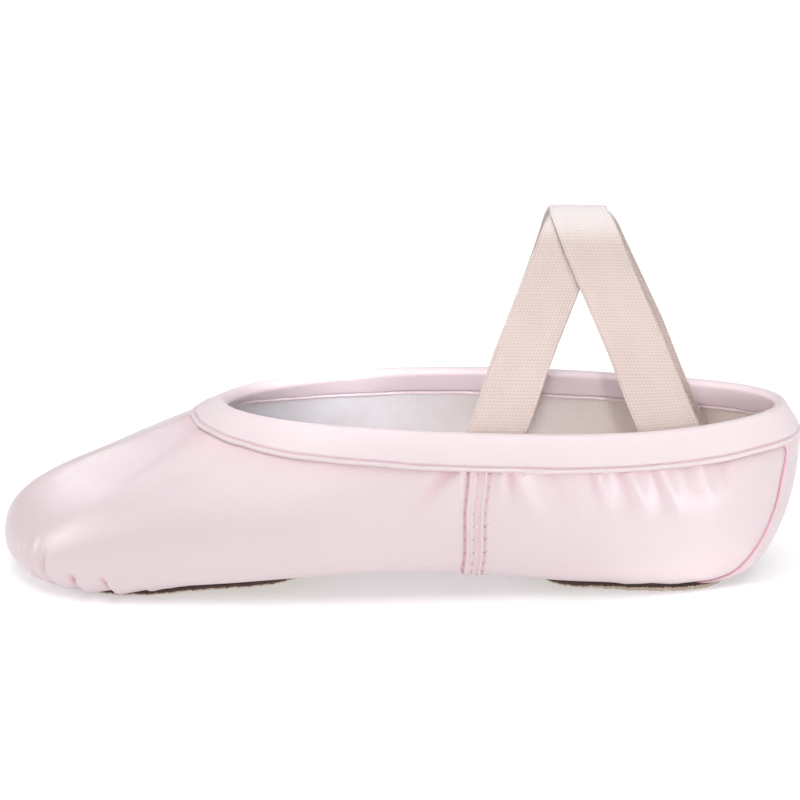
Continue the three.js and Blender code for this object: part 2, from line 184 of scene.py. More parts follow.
@dataclass
class Last:
    """The outer face of the slipper, as one surface.

    tau runs round the shoe in sections, from the toe along the near side to the heel and back along the far
    side. s is 0 to 1 along the underside, 1 to 2 round the edge and 2 to 3 up the wall to the collar.
    """

    wall: float = 1.4
    gap: float = 0.3
    collar_centre: float = 150.5
    collar_half_length: float = 83.5
    collar_half_width: float = 29.2
    columns: tuple[str, ...] = ("spine", "out_x", "out_y", "out_z", "tuck", "phi", "lean", "rise", "pull")
    turning: tuple[str, ...] = ("out_y", "phi")
    sections: tuple[tuple[float, ...], ...] = (
        (58, 0, 0, 11.5, 15, 0, 62.5, 17, 33),
        (59, 4, 17, 9, 14, 7.5, 59.5, 14.5, 31.5),
        (62, 16, 30, 9, 12, 15, 59.5, 16, 29),
        (68, 37, 36.5, 10.5, 15.5, 23, 54, 17, 25),
        (80, 62, 37.5, 13.5, 15, 34, 44, 16, 20),
        (100, 92, 36.5, 15, 12.5, 50, 32, 14, 16),
        (126, 124, 33.5, 16, 11, 71, 23, 13, 13),
        (154, 155, 31, 18.5, 11, 93.5, 17, 12, 12),
        (181, 185, 31, 20.5, 15, 115, 13, 12, 12),
        (197, 210.5, 29, 27, 15, 136, 11, 11, 11),
        (203, 230.5, 17, 36, 12.5, 158, 14, 8, 7),
        (205, 239, 0, 42.5, 18, 180, 24, 5, 5),
    )
    collar_height: tuple[tuple[float, float], ...] = (
        (67, 51.6), (90, 51.8), (120, 52.3), (150, 52), (190, 51.6), (234, 53.2),
    )
    lift: tuple[tuple[float, float], ...] = (
        (0, 4.6), (14, 2.3), (25, 1.8), (45, 1.8), (58, 3), (75, 4.4), (95, 6.4), (120, 8),
        (145, 6.3), (160, 4.6), (170, 3.4), (181, 2.6), (191, 1.8), (209, 1.8), (222, 2.7), (239, 7.2),
    )
    collar_steps: int = 40
    solve_steps: int = 40

    def __post_init__(self) -> None:
        """Reads the tables as arrays and takes the toe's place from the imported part."""
        table = np.array(self.sections, float)
        self.column = {name: table[:, k] for k, name in enumerate(self.columns)}
        self.height_table = np.array(self.collar_height, float)
        self.lift_table = np.array(self.lift, float)
        self.side = len(self.sections) - 1
        self.round = 2 * self.side
        self.toe = np.array([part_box("upper")[0].x, 0.0, 0.0])

    def metres(self, points: Array) -> Array:
        """Points in millimetres from the toe, as metres in the part's frame."""
        return np.asarray(points) * MM + self.toe

    def section(self, t: Array) -> dict[str, Array]:
        """The section's sizes at a place along one side."""
        return {name: through(values, t, name in self.turning) for name, values in self.column.items()}

    def sole_lift(self, x: Array) -> Array:
        """Height of the upper's underside at a distance from the toe."""
        return along(self.lift_table, x)

    def feather(self, c: dict[str, Array]) -> tuple[Array, Array]:
        """Where a section's rounded edge starts, as x and y."""
        part = c["tuck"] / np.hypot(c["spine"] - c["out_x"], c["out_y"])
        return c["out_x"] + (c["spine"] - c["out_x"]) * part, c["out_y"] * (1 - part)

    def side_point(self, t: Array, s: Array) -> Array:
        """Points of one side, with y positive.

        Args:
            t: places along the side.
            s: places up the side.

        Returns:
            Points in millimetres.
        """
        t, s = np.broadcast_arrays(np.asarray(t, float), np.asarray(s, float))
        c = self.section(t)
        x, y = self.feather(c)
        z = self.sole_lift(x)
        under_x = c["spine"] + (x - c["spine"]) * s
        under = np.stack([under_x, y * s, self.sole_lift(under_x)], -1)
        turn = np.clip(s - 1, 0, 1) * np.pi / 2
        sine, rest = np.sin(turn), 1 - np.cos(turn)
        widest = np.stack([c["out_x"], c["out_y"], c["out_z"]], -1)
        edge_x, edge_y = x + (c["out_x"] - x) * sine, y + (c["out_y"] - y) * sine
        edge = np.stack([edge_x, edge_y, z + (c["out_z"] - z) * rest], -1)
        phi, lean = np.radians(c["phi"]), np.radians(c["lean"])
        rim_x = self.collar_centre - self.collar_half_length * np.cos(phi)
        rim = np.stack([rim_x, self.collar_half_width * np.sin(phi), along(self.height_table, rim_x)], -1)
        inward_x, inward_y = np.cos(phi) / self.collar_half_length, -np.sin(phi) / self.collar_half_width
        lead = unit(np.stack([inward_x, inward_y, np.zeros_like(phi)], -1)) * np.sin(lean)[..., None]
        lead[..., 2] = np.cos(lean)
        lower = widest.copy()
        lower[..., 2] += c["rise"]
        upper = rim - lead * c["pull"][..., None]
        f = np.clip(s - 2, 0, 1)[..., None]
        g = 1 - f
        wall = g**3 * widest + 3 * f * g * g * lower + 3 * f * f * g * upper + f**3 * rim
        low = np.where((s <= 2)[..., None], edge, wall)
        return np.where((s <= 1)[..., None], under, low)

    def point(self, tau: Array, s: Array) -> Array:
        """Points of the outer face, all the way round.

        Args:
            tau: places round the shoe.
            s: places up the shoe.

        Returns:
            Points in millimetres.
        """
        turn = np.mod(tau, self.round)
        near = turn <= self.side
        points = self.side_point(np.where(near, turn, self.round - turn), s)
        points[..., 1] *= np.where(near, -1.0, 1.0)
        return points

    def rises(self, tau: Array, s: Array) -> tuple[Array, Array]:
        """Steps of the surface for one unit of tau and of s.

        Args:
            tau: places round the shoe.
            s: places up the shoe.

        Returns:
            Both steps, in millimetres.
        """
        low, high = np.maximum(s - FINE, 0), np.minimum(s + FINE, 3)
        on = (self.point(tau + FINE, s) - self.point(tau - FINE, s)) / (2 * FINE)
        up = (self.point(tau, high) - self.point(tau, low)) / (high - low)[..., None]
        return on, up

    def normal(self, tau: Array, s: Array) -> Array:
        """Outward normals.

        Args:
            tau: places round the shoe.
            s: places up the shoe.

        Returns:
            Vectors of length one.
        """
        tau, s = np.broadcast_arrays(np.asarray(tau, float), np.asarray(s, float))
        on, up = self.rises(tau, s)
        down = np.array([0.0, 0.0, -1.0])
        return np.where((s < FINE)[..., None], down, unit(np.cross(on, up)))

    def shell(self, tau: Array, s: Array, offset: Array) -> Array:
        """Points at a distance outside the outer face."""
        return self.point(tau, s) + self.normal(tau, s) * np.asarray(offset)[..., None]

    def below_collar(self, tau: Array, distance: Array) -> Array:
        """The s that lies a given way below the collar's edge, measured on the cloth.

        Args:
            tau: places round the shoe.
            distance: ways down from the edge, in millimetres.

        Returns:
            Values of s.
        """
        tau, distance = np.broadcast_arrays(np.asarray(tau, float), np.asarray(distance, float))
        ladder = np.linspace(3, 2, self.collar_steps + 1)
        points = self.point(tau[..., None], ladder)
        run = running(length(np.diff(points, axis=-2)), -1)
        k = np.clip((run < distance[..., None]).sum(-1), 1, self.collar_steps)
        before = np.take_along_axis(run, (k - 1)[..., None], -1)[..., 0]
        after = np.take_along_axis(run, k[..., None], -1)[..., 0]
        part = np.clip((distance - before) / np.maximum(after - before, TINY), 0, 1)
        return 3 - (k - 1 + part) / self.collar_steps

    def feather_half(self, x: Array) -> Array:
        """Half width of the underside at a distance from the toe.

        Args:
            x: distances from the toe.

        Returns:
            Half widths in millimetres.
        """
        t = np.linspace(0, self.side, FINE_STEPS)
        feather_x, feather_y = self.feather(self.section(t))
        return np.interp(x, feather_x, feather_y)

    def column_at(self, y: Array, s: Array, low: float, high: float) -> Array:
        """The tau between two limits where the face has a given y.

        Args:
            y: the wanted y.
            s: places up the shoe.
            low: least tau.
            high: greatest tau.

        Returns:
            Values of tau.
        """
        y, s = np.broadcast_arrays(np.asarray(y, float), np.asarray(s, float))
        a, b = np.full(y.shape, float(low)), np.full(y.shape, float(high))
        for _ in range(self.solve_steps):
            middle = 0.5 * (a + b)
            short = self.point(middle, s)[..., 1] < y
            a, b = np.where(short, middle, a), np.where(short, b, middle)
        return 0.5 * (a + b)


# Meshes from points


def place_object(name: str, data: bpy.types.ID) -> Object:
    """A new object in the scene.

    Args:
        name: its name.
        data: its mesh, lamp or camera.

    Returns:
        The object.
    """
    made = bpy.data.objects.new(name, data)
    bpy.context.scene.collection.objects.link(made)
    return made


def cells(grid: Array, flipped: bool = False) -> Array:
    """The four corners of each cell of a grid, in turn, or the other way round."""
    corners = [grid[:-1, :-1], grid[:-1, 1:], grid[1:, 1:], grid[1:, :-1]]
    return np.stack(corners[:1] + corners[:0:-1] if flipped else corners, 2)


def mesh_object(name: str, points: Array, faces: Sequence[Sequence[int]],
                corners: Array | None = None) -> Object:
    """A smooth mesh object at the origin.

    Args:
        name: the piece's name.
        points: its points, in metres.
        faces: its faces, as rows of point numbers.
        corners: the cloth's own measure at each face corner, in millimetres.

    Returns:
        The new object, linked to the scene.
    """
    mesh = bpy.data.meshes.new(name)
    mesh.from_pydata(np.asarray(points).tolist(), [], [list(map(int, f)) for f in faces])
    mesh.polygons.foreach_set("use_smooth", np.ones(len(mesh.polygons), bool))
    if corners is not None:
        layer = mesh.uv_layers.new(name=CLOTH_UV)
        layer.data.foreach_set("uv", np.asarray(corners, np.float32).ravel())
    mesh.validate()
    mesh.update()
    return place_object(name, mesh)


def set_attribute(piece: Object, name: str, values: Array) -> None:
    """Keeps one number for each point of a mesh under a name."""
    attribute = piece.data.attributes.new(name, "FLOAT", "POINT")
    attribute.data.foreach_set("value", np.asarray(values, np.float32).ravel())


@dataclass
class Shell:
    """A closed body between two grids of points that share their layout, open where faces are left out."""

    outer: Array
    inner: Array
    wrap: bool
    mirror_first_row: bool = False
    keep: Array | None = None
    values: dict[str, Array] = field(default_factory=dict)

    def numbers(self) -> Array:
        """Point number of each place of the outer grid.

        Returns:
            A grid of numbers.
        """
        rows, columns = self.outer.shape[:2]
        numbers = np.arange(rows * columns).reshape(rows, columns)
        if self.mirror_first_row:
            place = np.arange(columns)
            numbers[0] = np.minimum(place, (columns - place) % columns)
        return numbers

    def measure(self) -> tuple[Array, Array]:
        """Length of the cloth along the widest row, and up each column.

        Returns:
            Both lengths at each place.
        """
        closed = np.concatenate([self.outer, self.outer[:, :1]], 1) if self.wrap else self.outer
        u = running(np.median(length(np.diff(closed, axis=1)), axis=0))
        v = running(length(np.diff(closed, axis=0)))
        return np.broadcast_to(u, v.shape), v

    def build(self, name: str, last: Last) -> Object:
        """Makes the mesh: both faces, and a wall round every open edge.

        Args:
            name: the piece's name.
            last: the form whose frame the points are in.

        Returns:
            The new object.
        """
        numbers = self.numbers()
        count = numbers.size
        ring = np.concatenate([numbers, numbers[:, :1]], 1) if self.wrap else numbers
        quads = cells(ring)
        corners = cells(np.stack(self.measure(), -1))
        keep = np.ones(quads.shape[:2], bool) if self.keep is None else self.keep
        quads, corners = quads[keep], corners[keep]
        start, end = quads.ravel(), np.roll(quads, -1, 1).ravel()
        begin, finish = corners.reshape(-1, 2), np.roll(corners, -1, 1).reshape(-1, 2)
        open_edge = ~np.isin(start * count + end, end * count + start)
        a, b = start[open_edge], end[open_edge]
        walls = np.stack([b, a, a + count, b + count], -1)
        wall_corners = np.stack([finish, begin, begin, finish], 1)[open_edge]
        faces = np.concatenate([quads, quads[:, ::-1] + count, walls])
        all_corners = np.concatenate([corners, corners[:, ::-1], wall_corners])
        used, faces = np.unique(faces, return_inverse=True)
        points = np.concatenate([self.outer.reshape(-1, 3), self.inner.reshape(-1, 3)])[used]
        piece = mesh_object(name, last.metres(points), faces.reshape(-1, 4), all_corners.reshape(-1, 2))
        for key, value in self.values.items():
            set_attribute(piece, key, np.concatenate([value.ravel(), value.ravel()])[used])
        return piece


def swept_loop(name: str, last: Last, profiles: Array, values: dict[str, Array]) -> Object:
    """A closed body swept round a loop of closed profiles.

    Args:
        name: the piece's name.
        last: the form whose frame the points are in.
        profiles: one closed profile for each step round the loop.
        values: numbers to keep for each point of a profile, by name.

    Returns:
        The new object.
    """
    steps, count = profiles.shape[:2]
    numbers = np.arange(steps * count).reshape(steps, count)
    ring = np.pad(numbers, ((0, 1), (0, 1)), mode="wrap")
    faces = cells(ring, True)
    closed = np.pad(profiles, ((0, 1), (0, 1), (0, 0)), mode="wrap")
    u = running(length(np.diff(closed, axis=0)).mean(1))
    v = running(length(np.diff(closed, axis=1)).mean(0))
    corners = cells(np.stack(np.meshgrid(u, v, indexing="ij"), -1), True)
    points = last.metres(profiles.reshape(-1, 3))
    piece = mesh_object(name, points, faces.reshape(-1, 4), corners.reshape(-1, 2))
    for key, value in values.items():
        set_attribute(piece, key, np.tile(value, steps))
    return piece


@dataclass
class Plate:
    """A flat piece that follows the foot's lift, made of rings that shrink on to its centre line."""

    from_x: float
    to_x: float
    half: Callable[[Array], Array]
    stations: int = 90
    shrink: tuple[float, ...] = (0.0, 0.25, 0.5, 0.75, 0.9)

    def outline(self) -> Array:
        """The outline as x and y, from the toe end along the near side and back.

        Returns:
            Rows of x and y.
        """
        turn = np.linspace(0, np.pi, self.stations + 1)
        x = (self.from_x + self.to_x) / 2 - (self.to_x - self.from_x) / 2 * np.cos(turn)
        y = self.half(x)
        near, far = np.stack([x, -y], -1), np.stack([x, y], -1)[-2:0:-1]
        return np.concatenate([near, far])

    def ring(self, inset: float = 0.0, share: float = 1.0) -> Array:
        """The outline drawn in by an inset, or by a share, towards the centre line.

        Args:
            inset: way in from the outline, in millimetres.
            share: what is left of the way to the centre line.

        Returns:
            Rows of x and y.
        """
        line = self.outline()
        widest = np.abs(line[:, 1]).max()
        centre = np.clip(line[:, 0], self.from_x + widest, max(self.to_x - widest, self.from_x + widest))
        middle = np.stack([centre, np.zeros_like(centre)], -1)
        reach = line - middle
        part = np.clip(1 - inset / np.maximum(length(reach)[:, None], TINY), 0, 1)
        return middle + reach * share * part

    def build(self, name: str, last: Last, profile: Sequence[tuple[float, float]],
              height: Callable[[Array], Array]) -> Object:
        """Makes the mesh from an edge profile.

        Args:
            name: the piece's name.
            last: the form whose frame the points are in.
            profile: pairs of inset and drop, from the top face's edge to the bottom face's edge.
            height: height of the top face at each distance from the toe.

        Returns:
            The new object.
        """
        first, final = profile[0], profile[-1]
        top = [(self.ring(first[0], q), first[1]) for q in self.shrink]
        edge = [(self.ring(inset), drop) for inset, drop in profile]
        bottom = [(self.ring(final[0], q), final[1]) for q in reversed(self.shrink)]
        rings = [*top, *edge, *bottom]
        points = np.stack([np.column_stack([ring, height(ring[:, 0]) - drop]) for ring, drop in rings])
        count = points.shape[1]
        numbers = np.arange(len(rings) * count).reshape(points.shape[:2])
        quads = cells(np.concatenate([numbers, numbers[:, :1]], 1), True)
        piece = mesh_object(name, last.metres(points.reshape(-1, 3)), quads.reshape(-1, 4))
        set_attribute(piece, ACROSS, np.repeat([drop for _, drop in rings], count))
        work = bmesh.new()
        work.from_mesh(piece.data)
        bmesh.ops.remove_doubles(work, verts=work.verts, dist=MERGED)
        bmesh.ops.recalc_face_normals(work, faces=work.faces)
        work.to_mesh(piece.data)
        work.free()
        return piece


# Node trees


def linear(code: str) -> tuple[float, float, float, float]:
    """An sRGB hex colour as linear red, green, blue and alpha.

    Args:
        code: the colour, with its hash sign.

    Returns:
        The four numbers.
    """
    parts = [int(code[k : k + 2], 16) / 255 for k in (1, 3, 5)]
    red, green, blue = (p / 12.92 if p <= 0.04045 else ((p + 0.055) / 1.055) ** 2.4 for p in parts)
    return red, green, blue, 1.0


def feed(tree: bpy.types.NodeTree, node: bpy.types.Node, inputs: dict[Any, Any]) -> None:
    """Gives each named input of a node its value, or the socket that feeds it.

    Args:
        tree: the tree that holds the node.
        node: the node.
        inputs: values or sockets, by input.
    """
    for key, value in inputs.items():
        if isinstance(value, Socket):
            tree.links.new(value, node.inputs[key])
        else:
            node.inputs[key].default_value = value


def add_node(tree: bpy.types.NodeTree, kind: str, inputs: dict[Any, Any] | None = None,
             **settings: Any) -> bpy.types.Node:
    """Adds a node.

    Args:
        tree: the tree that gets the node.
        kind: Blender's name for the node.
        inputs: values for its inputs, or sockets that feed them.
        settings: its own properties.

    Returns:
        The new node.
    """
    node = tree.nodes.new(kind)
    for name, value in settings.items():
        setattr(node, name, value)
    feed(tree, node, inputs or {})
    return node


@dataclass
class Graph:
    """A node tree that is filled step by step."""

    name: str
    tree: bpy.types.NodeTree = field(init=False)

    def node(self, kind: str, inputs: dict[Any, Any] | None = None, **settings: Any) -> Any:
        """Adds a node and gives its outputs."""
        return add_node(self.tree, kind, inputs, **settings).outputs

    def maths(self, operation: str, *terms: Any, clamp: bool = False) -> Socket:
        """One operation on numbers or sockets."""
        return self.node("ShaderNodeMath", dict(enumerate(terms)), operation=operation, use_clamp=clamp)[0]


@dataclass
class Shader(Graph):
    """A material's tree round one Principled shader."""

    def __post_init__(self) -> None:
        """Makes the material, its shader and the places that patterns are read at."""
        self.material = bpy.data.materials.new(self.name)
        self.material.use_nodes = True
        self.tree = self.material.node_tree
        self.tree.nodes.clear()
        self.surface = add_node(self.tree, "ShaderNodeBsdfPrincipled")
        self.node("ShaderNodeOutputMaterial", {"Surface": self.surface.outputs[0]})
        self.place = self.node("ShaderNodeTexCoord")["Object"]

    def cloth(self) -> Socket:
        """Places in the cloth's own measure, in millimetres."""
        return self.node("ShaderNodeUVMap", uv_map=CLOTH_UV)["UV"]

    def kept(self, name: str) -> Socket:
        """The number that each point of the mesh keeps under a name."""
        return self.node("ShaderNodeAttribute", attribute_name=name)["Fac"]

    def noise(self, place: Socket, size: float, detail: float) -> Socket:
        """Cloudy noise with patches of about one size."""
        return self.node("ShaderNodeTexNoise", {"Vector": place, "Scale": 1 / size, "Detail": detail})["Fac"]

    def bands(self, place: Socket, pitch: float, way: str, waver: float, detail: float = 2.0) -> Socket:
        """Bands that lie a pitch apart.

        Args:
            place: where they are read.
            pitch: distance from band to band.
            way: a key of BAND_PHASE.
            waver: how unevenly they run.
            detail: fineness of the waver.

        Returns:
            The bands, from 0 to 1.
        """
        scale = 2 * math.pi / (BAND_PHASE[way] * pitch)
        inputs = {"Vector": place, "Scale": scale, "Distortion": waver, "Detail": detail}
        return self.node("ShaderNodeTexWave", inputs, wave_type="BANDS", bands_direction=way)["Fac"]

    def span(self, value: Socket, low: float, high: float, start: float = 0.0, end: float = 1.0) -> Socket:
        """A value carried from the range low to high over to the range start to end."""
        inputs = {"Value": value, "From Min": low, "From Max": high, "To Min": start, "To Max": end}
        return self.node("ShaderNodeMapRange", inputs)["Result"]

    def fade(self, axis: str, ends: tuple[float, float], start: float = 0.0, end: float = 1.0) -> Socket:
        """A value that goes from start to end between two places on an axis, in millimetres.

        Args:
            axis: X, Y or Z.
            ends: the two places.
            start: value at the first.
            end: value at the second.

        Returns:
            The value.
        """
        low, high = ends
        along_axis = self.node("ShaderNodeSeparateXYZ", {0: self.place})[axis]
        return self.span(along_axis, low * MM, high * MM, start, end)

    def mix(self, share: Socket, first: Socket | str, second: str) -> Socket:
        """A colour, as a socket or a hex code, mixed with a second one."""
        base = linear(first) if isinstance(first, str) else first
        return self.node("ShaderNodeMix", {0: share, 6: base, 7: linear(second)}, data_type="RGBA")[2]

    def bump(self, height: Socket, depth: float, **under: Socket) -> Socket:
        """Normals of a relief with a depth in millimetres, over another's Normal if one is given."""
        return self.node("ShaderNodeBump", {"Height": height, "Distance": depth * MM, **under})["Normal"]

    def dress(self, colour: Any, normal: Socket, roughness: Any, inputs: dict[str, Any]) -> Material:
        """Feeds the Principled shader and gives the material.

        Args:
            colour: base colour.
            normal: normals.
            roughness: roughness.
            inputs: its other inputs.

        Returns:
            The material.
        """
        main_inputs = {"Base Color": colour, "Normal": normal, "Roughness": roughness}
        feed(self.tree, self.surface, {**main_inputs, **inputs})
        return self.material


# Finishes


@dataclass(frozen=True)
class SatinFinish:
    """Polyester satin, woven with long floats: a soft broad gloss, a faint twill line, painted deeper pink
    shade in creases.

    The real floats are about 0.3 mm apart. The line is drawn coarser, as the eye and the lens merge it,
    and fades low on the shoe, where the light runs along it.
    """

    colour: str = "#d9cbcd"
    shade: str = "#c9b0b8"
    # fold is painted shade: the deeper pink laid where the crease-shade attribute is high
    fold: str = "#cc7c97"
    line_pitch: float = 0.9
    line_waver: float = 0.6
    line_depth: float = 0.03
    line_tone: float = 0.36
    line_low: float = 0.3
    line_fades: tuple[float, float] = (12.0, 36.0)
    fibre_size: float = 0.35
    fibre_depth: float = 0.008
    patch_size: float = 38.0
    patch_tone: float = 0.35
    roughness: tuple[float, float] = (0.3, 0.4)
    gloss: float = 0.9
    bend: float = 1.65
    sheen: float = 0.1
    sheen_roughness: float = 0.4

    def material(self) -> Material:
        """Builds the material.

        Returns:
            The material.
        """
        shader = Shader("satin_polyester")
        cloth = shader.cloth()
        turned = shader.node("ShaderNodeMapping", {"Vector": cloth, "Scale": (1.0, -1.0, 1.0)})[0]
        patch = shader.noise(shader.place, self.patch_size * MM, 2.0)
        fibre = shader.noise(cloth, self.fibre_size, 1.0)
        line = shader.bands(turned, self.line_pitch, "DIAGONAL", self.line_waver, 1.0)
        seen = shader.fade("Z", self.line_fades, self.line_low)
        twill = shader.node("ShaderNodeMix", {0: seen, 2: 0.5, 3: line}, data_type="FLOAT")[0]
        soft = shader.maths("MULTIPLY", patch, self.patch_tone)
        drawn = shader.maths("MULTIPLY_ADD", twill, self.line_tone, soft, clamp=True)
        mottle = shader.mix(drawn, self.colour, self.shade)
        weave = shader.bump(twill, self.line_depth)
        # Painted shade: deeper pink in folds, seam rows, strip edges and under the binding
        tone = shader.mix(shader.kept(PAINTED_CREASE_SHADE), mottle, self.fold)
        nap = shader.bump(fibre, self.fibre_depth, Normal=weave)
        return shader.dress(tone, nap, shader.span(patch, 0.0, 1.0, *self.roughness), {
            "Sheen Weight": self.sheen,
            "Sheen Roughness": self.sheen_roughness,
            "Specular IOR Level": self.gloss,
            "IOR": self.bend,
        })


@dataclass(frozen=True)
class TapeFinish:
    """Brushed jersey binding tape: matt, evenly pale, painted lighter on its inner flap, painted pinker in
    its sewn groove.
    """

    colour: str = "#d9cdcf"
    shade: str = "#d2c2c6"
    # inner is painted light: a paler colour on the flap inside the collar, where little light falls
    inner: str = "#eedde3"
    # fold is painted shade: pinker in the sewn groove and in the fold under the bead
    fold: str = "#d4b4be"
    course_pitch: float = 0.55
    wale_pitch: float = 0.8
    waver: float = 1.2
    grain_depth: float = 0.018
    patch_size: float = 24.0
    roughness: float = 0.72
    sheen: float = 0.2

    def material(self) -> Material:
        """Builds the material.

        Returns:
            The material.
        """
        shader = Shader("jersey_binding_tape")
        cloth = shader.cloth()
        course = shader.bands(cloth, self.course_pitch, "Y", self.waver)
        wale = shader.bands(cloth, self.wale_pitch, "X", self.waver)
        knit = shader.maths("MULTIPLY", course, wale)
        patch = shader.noise(shader.place, self.patch_size * MM, 3.0)
        mottle = shader.mix(patch, self.colour, self.shade)
        # Painted light: paler on the inner flap
        flap = shader.mix(shader.kept(PAINTED_FLAP_LIGHT), mottle, self.inner)
        # Painted shade in the sewn groove and under the bead
        colour = shader.mix(shader.kept(PAINTED_CREASE_SHADE), flap, self.fold)
        bump = shader.bump(knit, self.grain_depth)
        return shader.dress(colour, bump, self.roughness, {"Sheen Weight": self.sheen})


@dataclass(frozen=True)
class ElasticFinish:
    """Woven elastic band: matt, peach pink, painted warmer shade in its weave's grooves, painted light where
    it folds over.
    """

    colour: str = "#cec1bd"
    # groove is painted shade in the weave's grooves, also mixed in as random patches
    groove: str = "#b7a198"
    # Painted light: a paler colour towards the top, between these heights
    painted_top_light: str = "#e8dfdf"
    fades: tuple[float, float] = (105.0, 113.5)
    rib_pitch: float = RIB_PITCH
    column_pitch: float = COLUMN_PITCH
    column_depth: float = 0.05
    groove_span: tuple[float, float] = (-2.0, 1.4)
    groove_share: float = 0.85
    patch_size: float = 20.0
    patch_share: float = 0.5
    depth_of_tone: float = 0.75
    roughness: float = 0.85
    sheen: float = 0.25

    def material(self) -> Material:
        """Builds the material.

        Returns:
            The material.
        """
        shader = Shader("woven_elastic")
        waves = []
        for name, pitch in ((RUN, self.rib_pitch), (ACROSS, self.column_pitch)):
            turn = shader.maths("MULTIPLY", shader.kept(name), 2 * math.pi / pitch)
            waves.append(shader.maths("SINE", turn))
        # Painted shade: the groove colour where the rib and column waves are low, plus random patches
        low = shader.span(shader.maths("ADD", *waves), *self.groove_span, self.groove_share, 0.0)
        patch = shader.noise(shader.place, self.patch_size * MM, 3.0)
        warm = shader.maths("MULTIPLY_ADD", patch, self.patch_share, low)
        deep = shader.maths("MULTIPLY", warm, self.depth_of_tone, clamp=True)
        tone = shader.mix(deep, self.colour, self.groove)
        # Painted light: paler towards the top, where the band turns over the instep
        colour = shader.mix(shader.fade("Z", self.fades), tone, self.painted_top_light)
        bump = shader.bump(waves[1], self.column_depth)
        return shader.dress(colour, bump, self.roughness, {"Sheen Weight": self.sheen})


@dataclass(frozen=True)
class CottonFinish:
    """Brushed cotton cloth: dull, off-white, cool at the toe, warmer at the heel, with a soft plain weave."""

    name: str = "brushed_cotton"
    colour: str = "#f6f4fb"
    warm: str = "#f1e6e0"
    stain: str = "#ece2de"
    thread_pitch: float = 0.7
    weave_depth: float = 0.03
    patch_size: float = 14.0
    warms: tuple[float, float] = (-20.0, 60.0)
    waver: float = 2.0
    stain_span: tuple[float, float] = (0.45, 0.8)
    stain_share: float = 0.7
    roughness: float = 0.92
    sheen: float = 0.3

    def material(self) -> Material:
        """Builds the material.

        Returns:
            The material.
        """
        shader = Shader(self.name)
        threads = [shader.bands(shader.place, self.thread_pitch * MM, way, self.waver) for way in ("X", "Z")]
        weave = shader.maths("ADD", *threads)
        cast = shader.mix(shader.fade("X", self.warms), self.colour, self.warm)
        patch = shader.noise(shader.place, self.patch_size * MM, 4.0)
        worn = shader.span(patch, *self.stain_span, 0.0, self.stain_share)
        colour = shader.mix(worn, cast, self.stain)
        bump = shader.bump(weave, self.weave_depth)
        return shader.dress(colour, bump, self.roughness, {"Sheen Weight": self.sheen})


@dataclass(frozen=True)
class SuedeFinish:
    """Split suede: a dull beige nap, with painted dark brown crevice shade in an uneven line along the top of
    its edge.
    """

    colour: str = "#cfc6b6"
    nap: str = "#b3a08f"
    # edge is painted shade: the dark crevice where the patch meets the upper
    edge: str = "#543e3a"
    edge_depth: float = 0.95
    edge_blur: float = 0.12
    thinner: float = 0.6
    thins_at: tuple[float, float] = (52.0, 74.0)
    nap_size: float = 0.9
    nap_depth: float = 0.12
    fray: float = 0.5
    roughness: float = 0.95
    sheen: float = 0.3

    def material(self) -> Material:
        """Builds the material.

        Returns:
            The material.
        """
        shader = Shader("split_suede")
        nap = shader.noise(shader.place, self.nap_size * MM, 5.0)
        frayed = shader.maths("MULTIPLY_ADD", nap, self.fray, shader.kept(ACROSS))
        thinned = shader.fade("X", self.thins_at, 0.0, self.thinner)
        reached = shader.maths("ADD", frayed, thinned)
        middle = self.edge_depth + self.fray / 2
        # Painted crevice shade along the top of the edge, thinner further from the toe
        crevice_shade = shader.span(reached, middle - self.edge_blur, middle + self.edge_blur, 1.0, 0.0)
        tone = shader.mix(nap, self.colour, self.nap)
        colour = shader.mix(crevice_shade, tone, self.edge)
        bump = shader.bump(nap, self.nap_depth)
        return shader.dress(colour, bump, self.roughness, {"Sheen Weight": self.sheen})


@dataclass(frozen=True)
class ThreadFinish:
    """Spun polyester sewing thread: a slight gloss and a fine twist."""

    name: str
    colour: str
    twist: float = 0.4
    waver: float = 1.0
    depth: float = 0.03
    roughness: float = 0.55

    def material(self) -> Material:
        """Builds the material.

        Returns:
            The material.
        """
        shader = Shader(self.name)
        twist = shader.bands(shader.place, self.twist * MM, "DIAGONAL", self.waver)
        return shader.dress(linear(self.colour), shader.bump(twist, self.depth), self.roughness, {})


# What repeats along a path or a surface


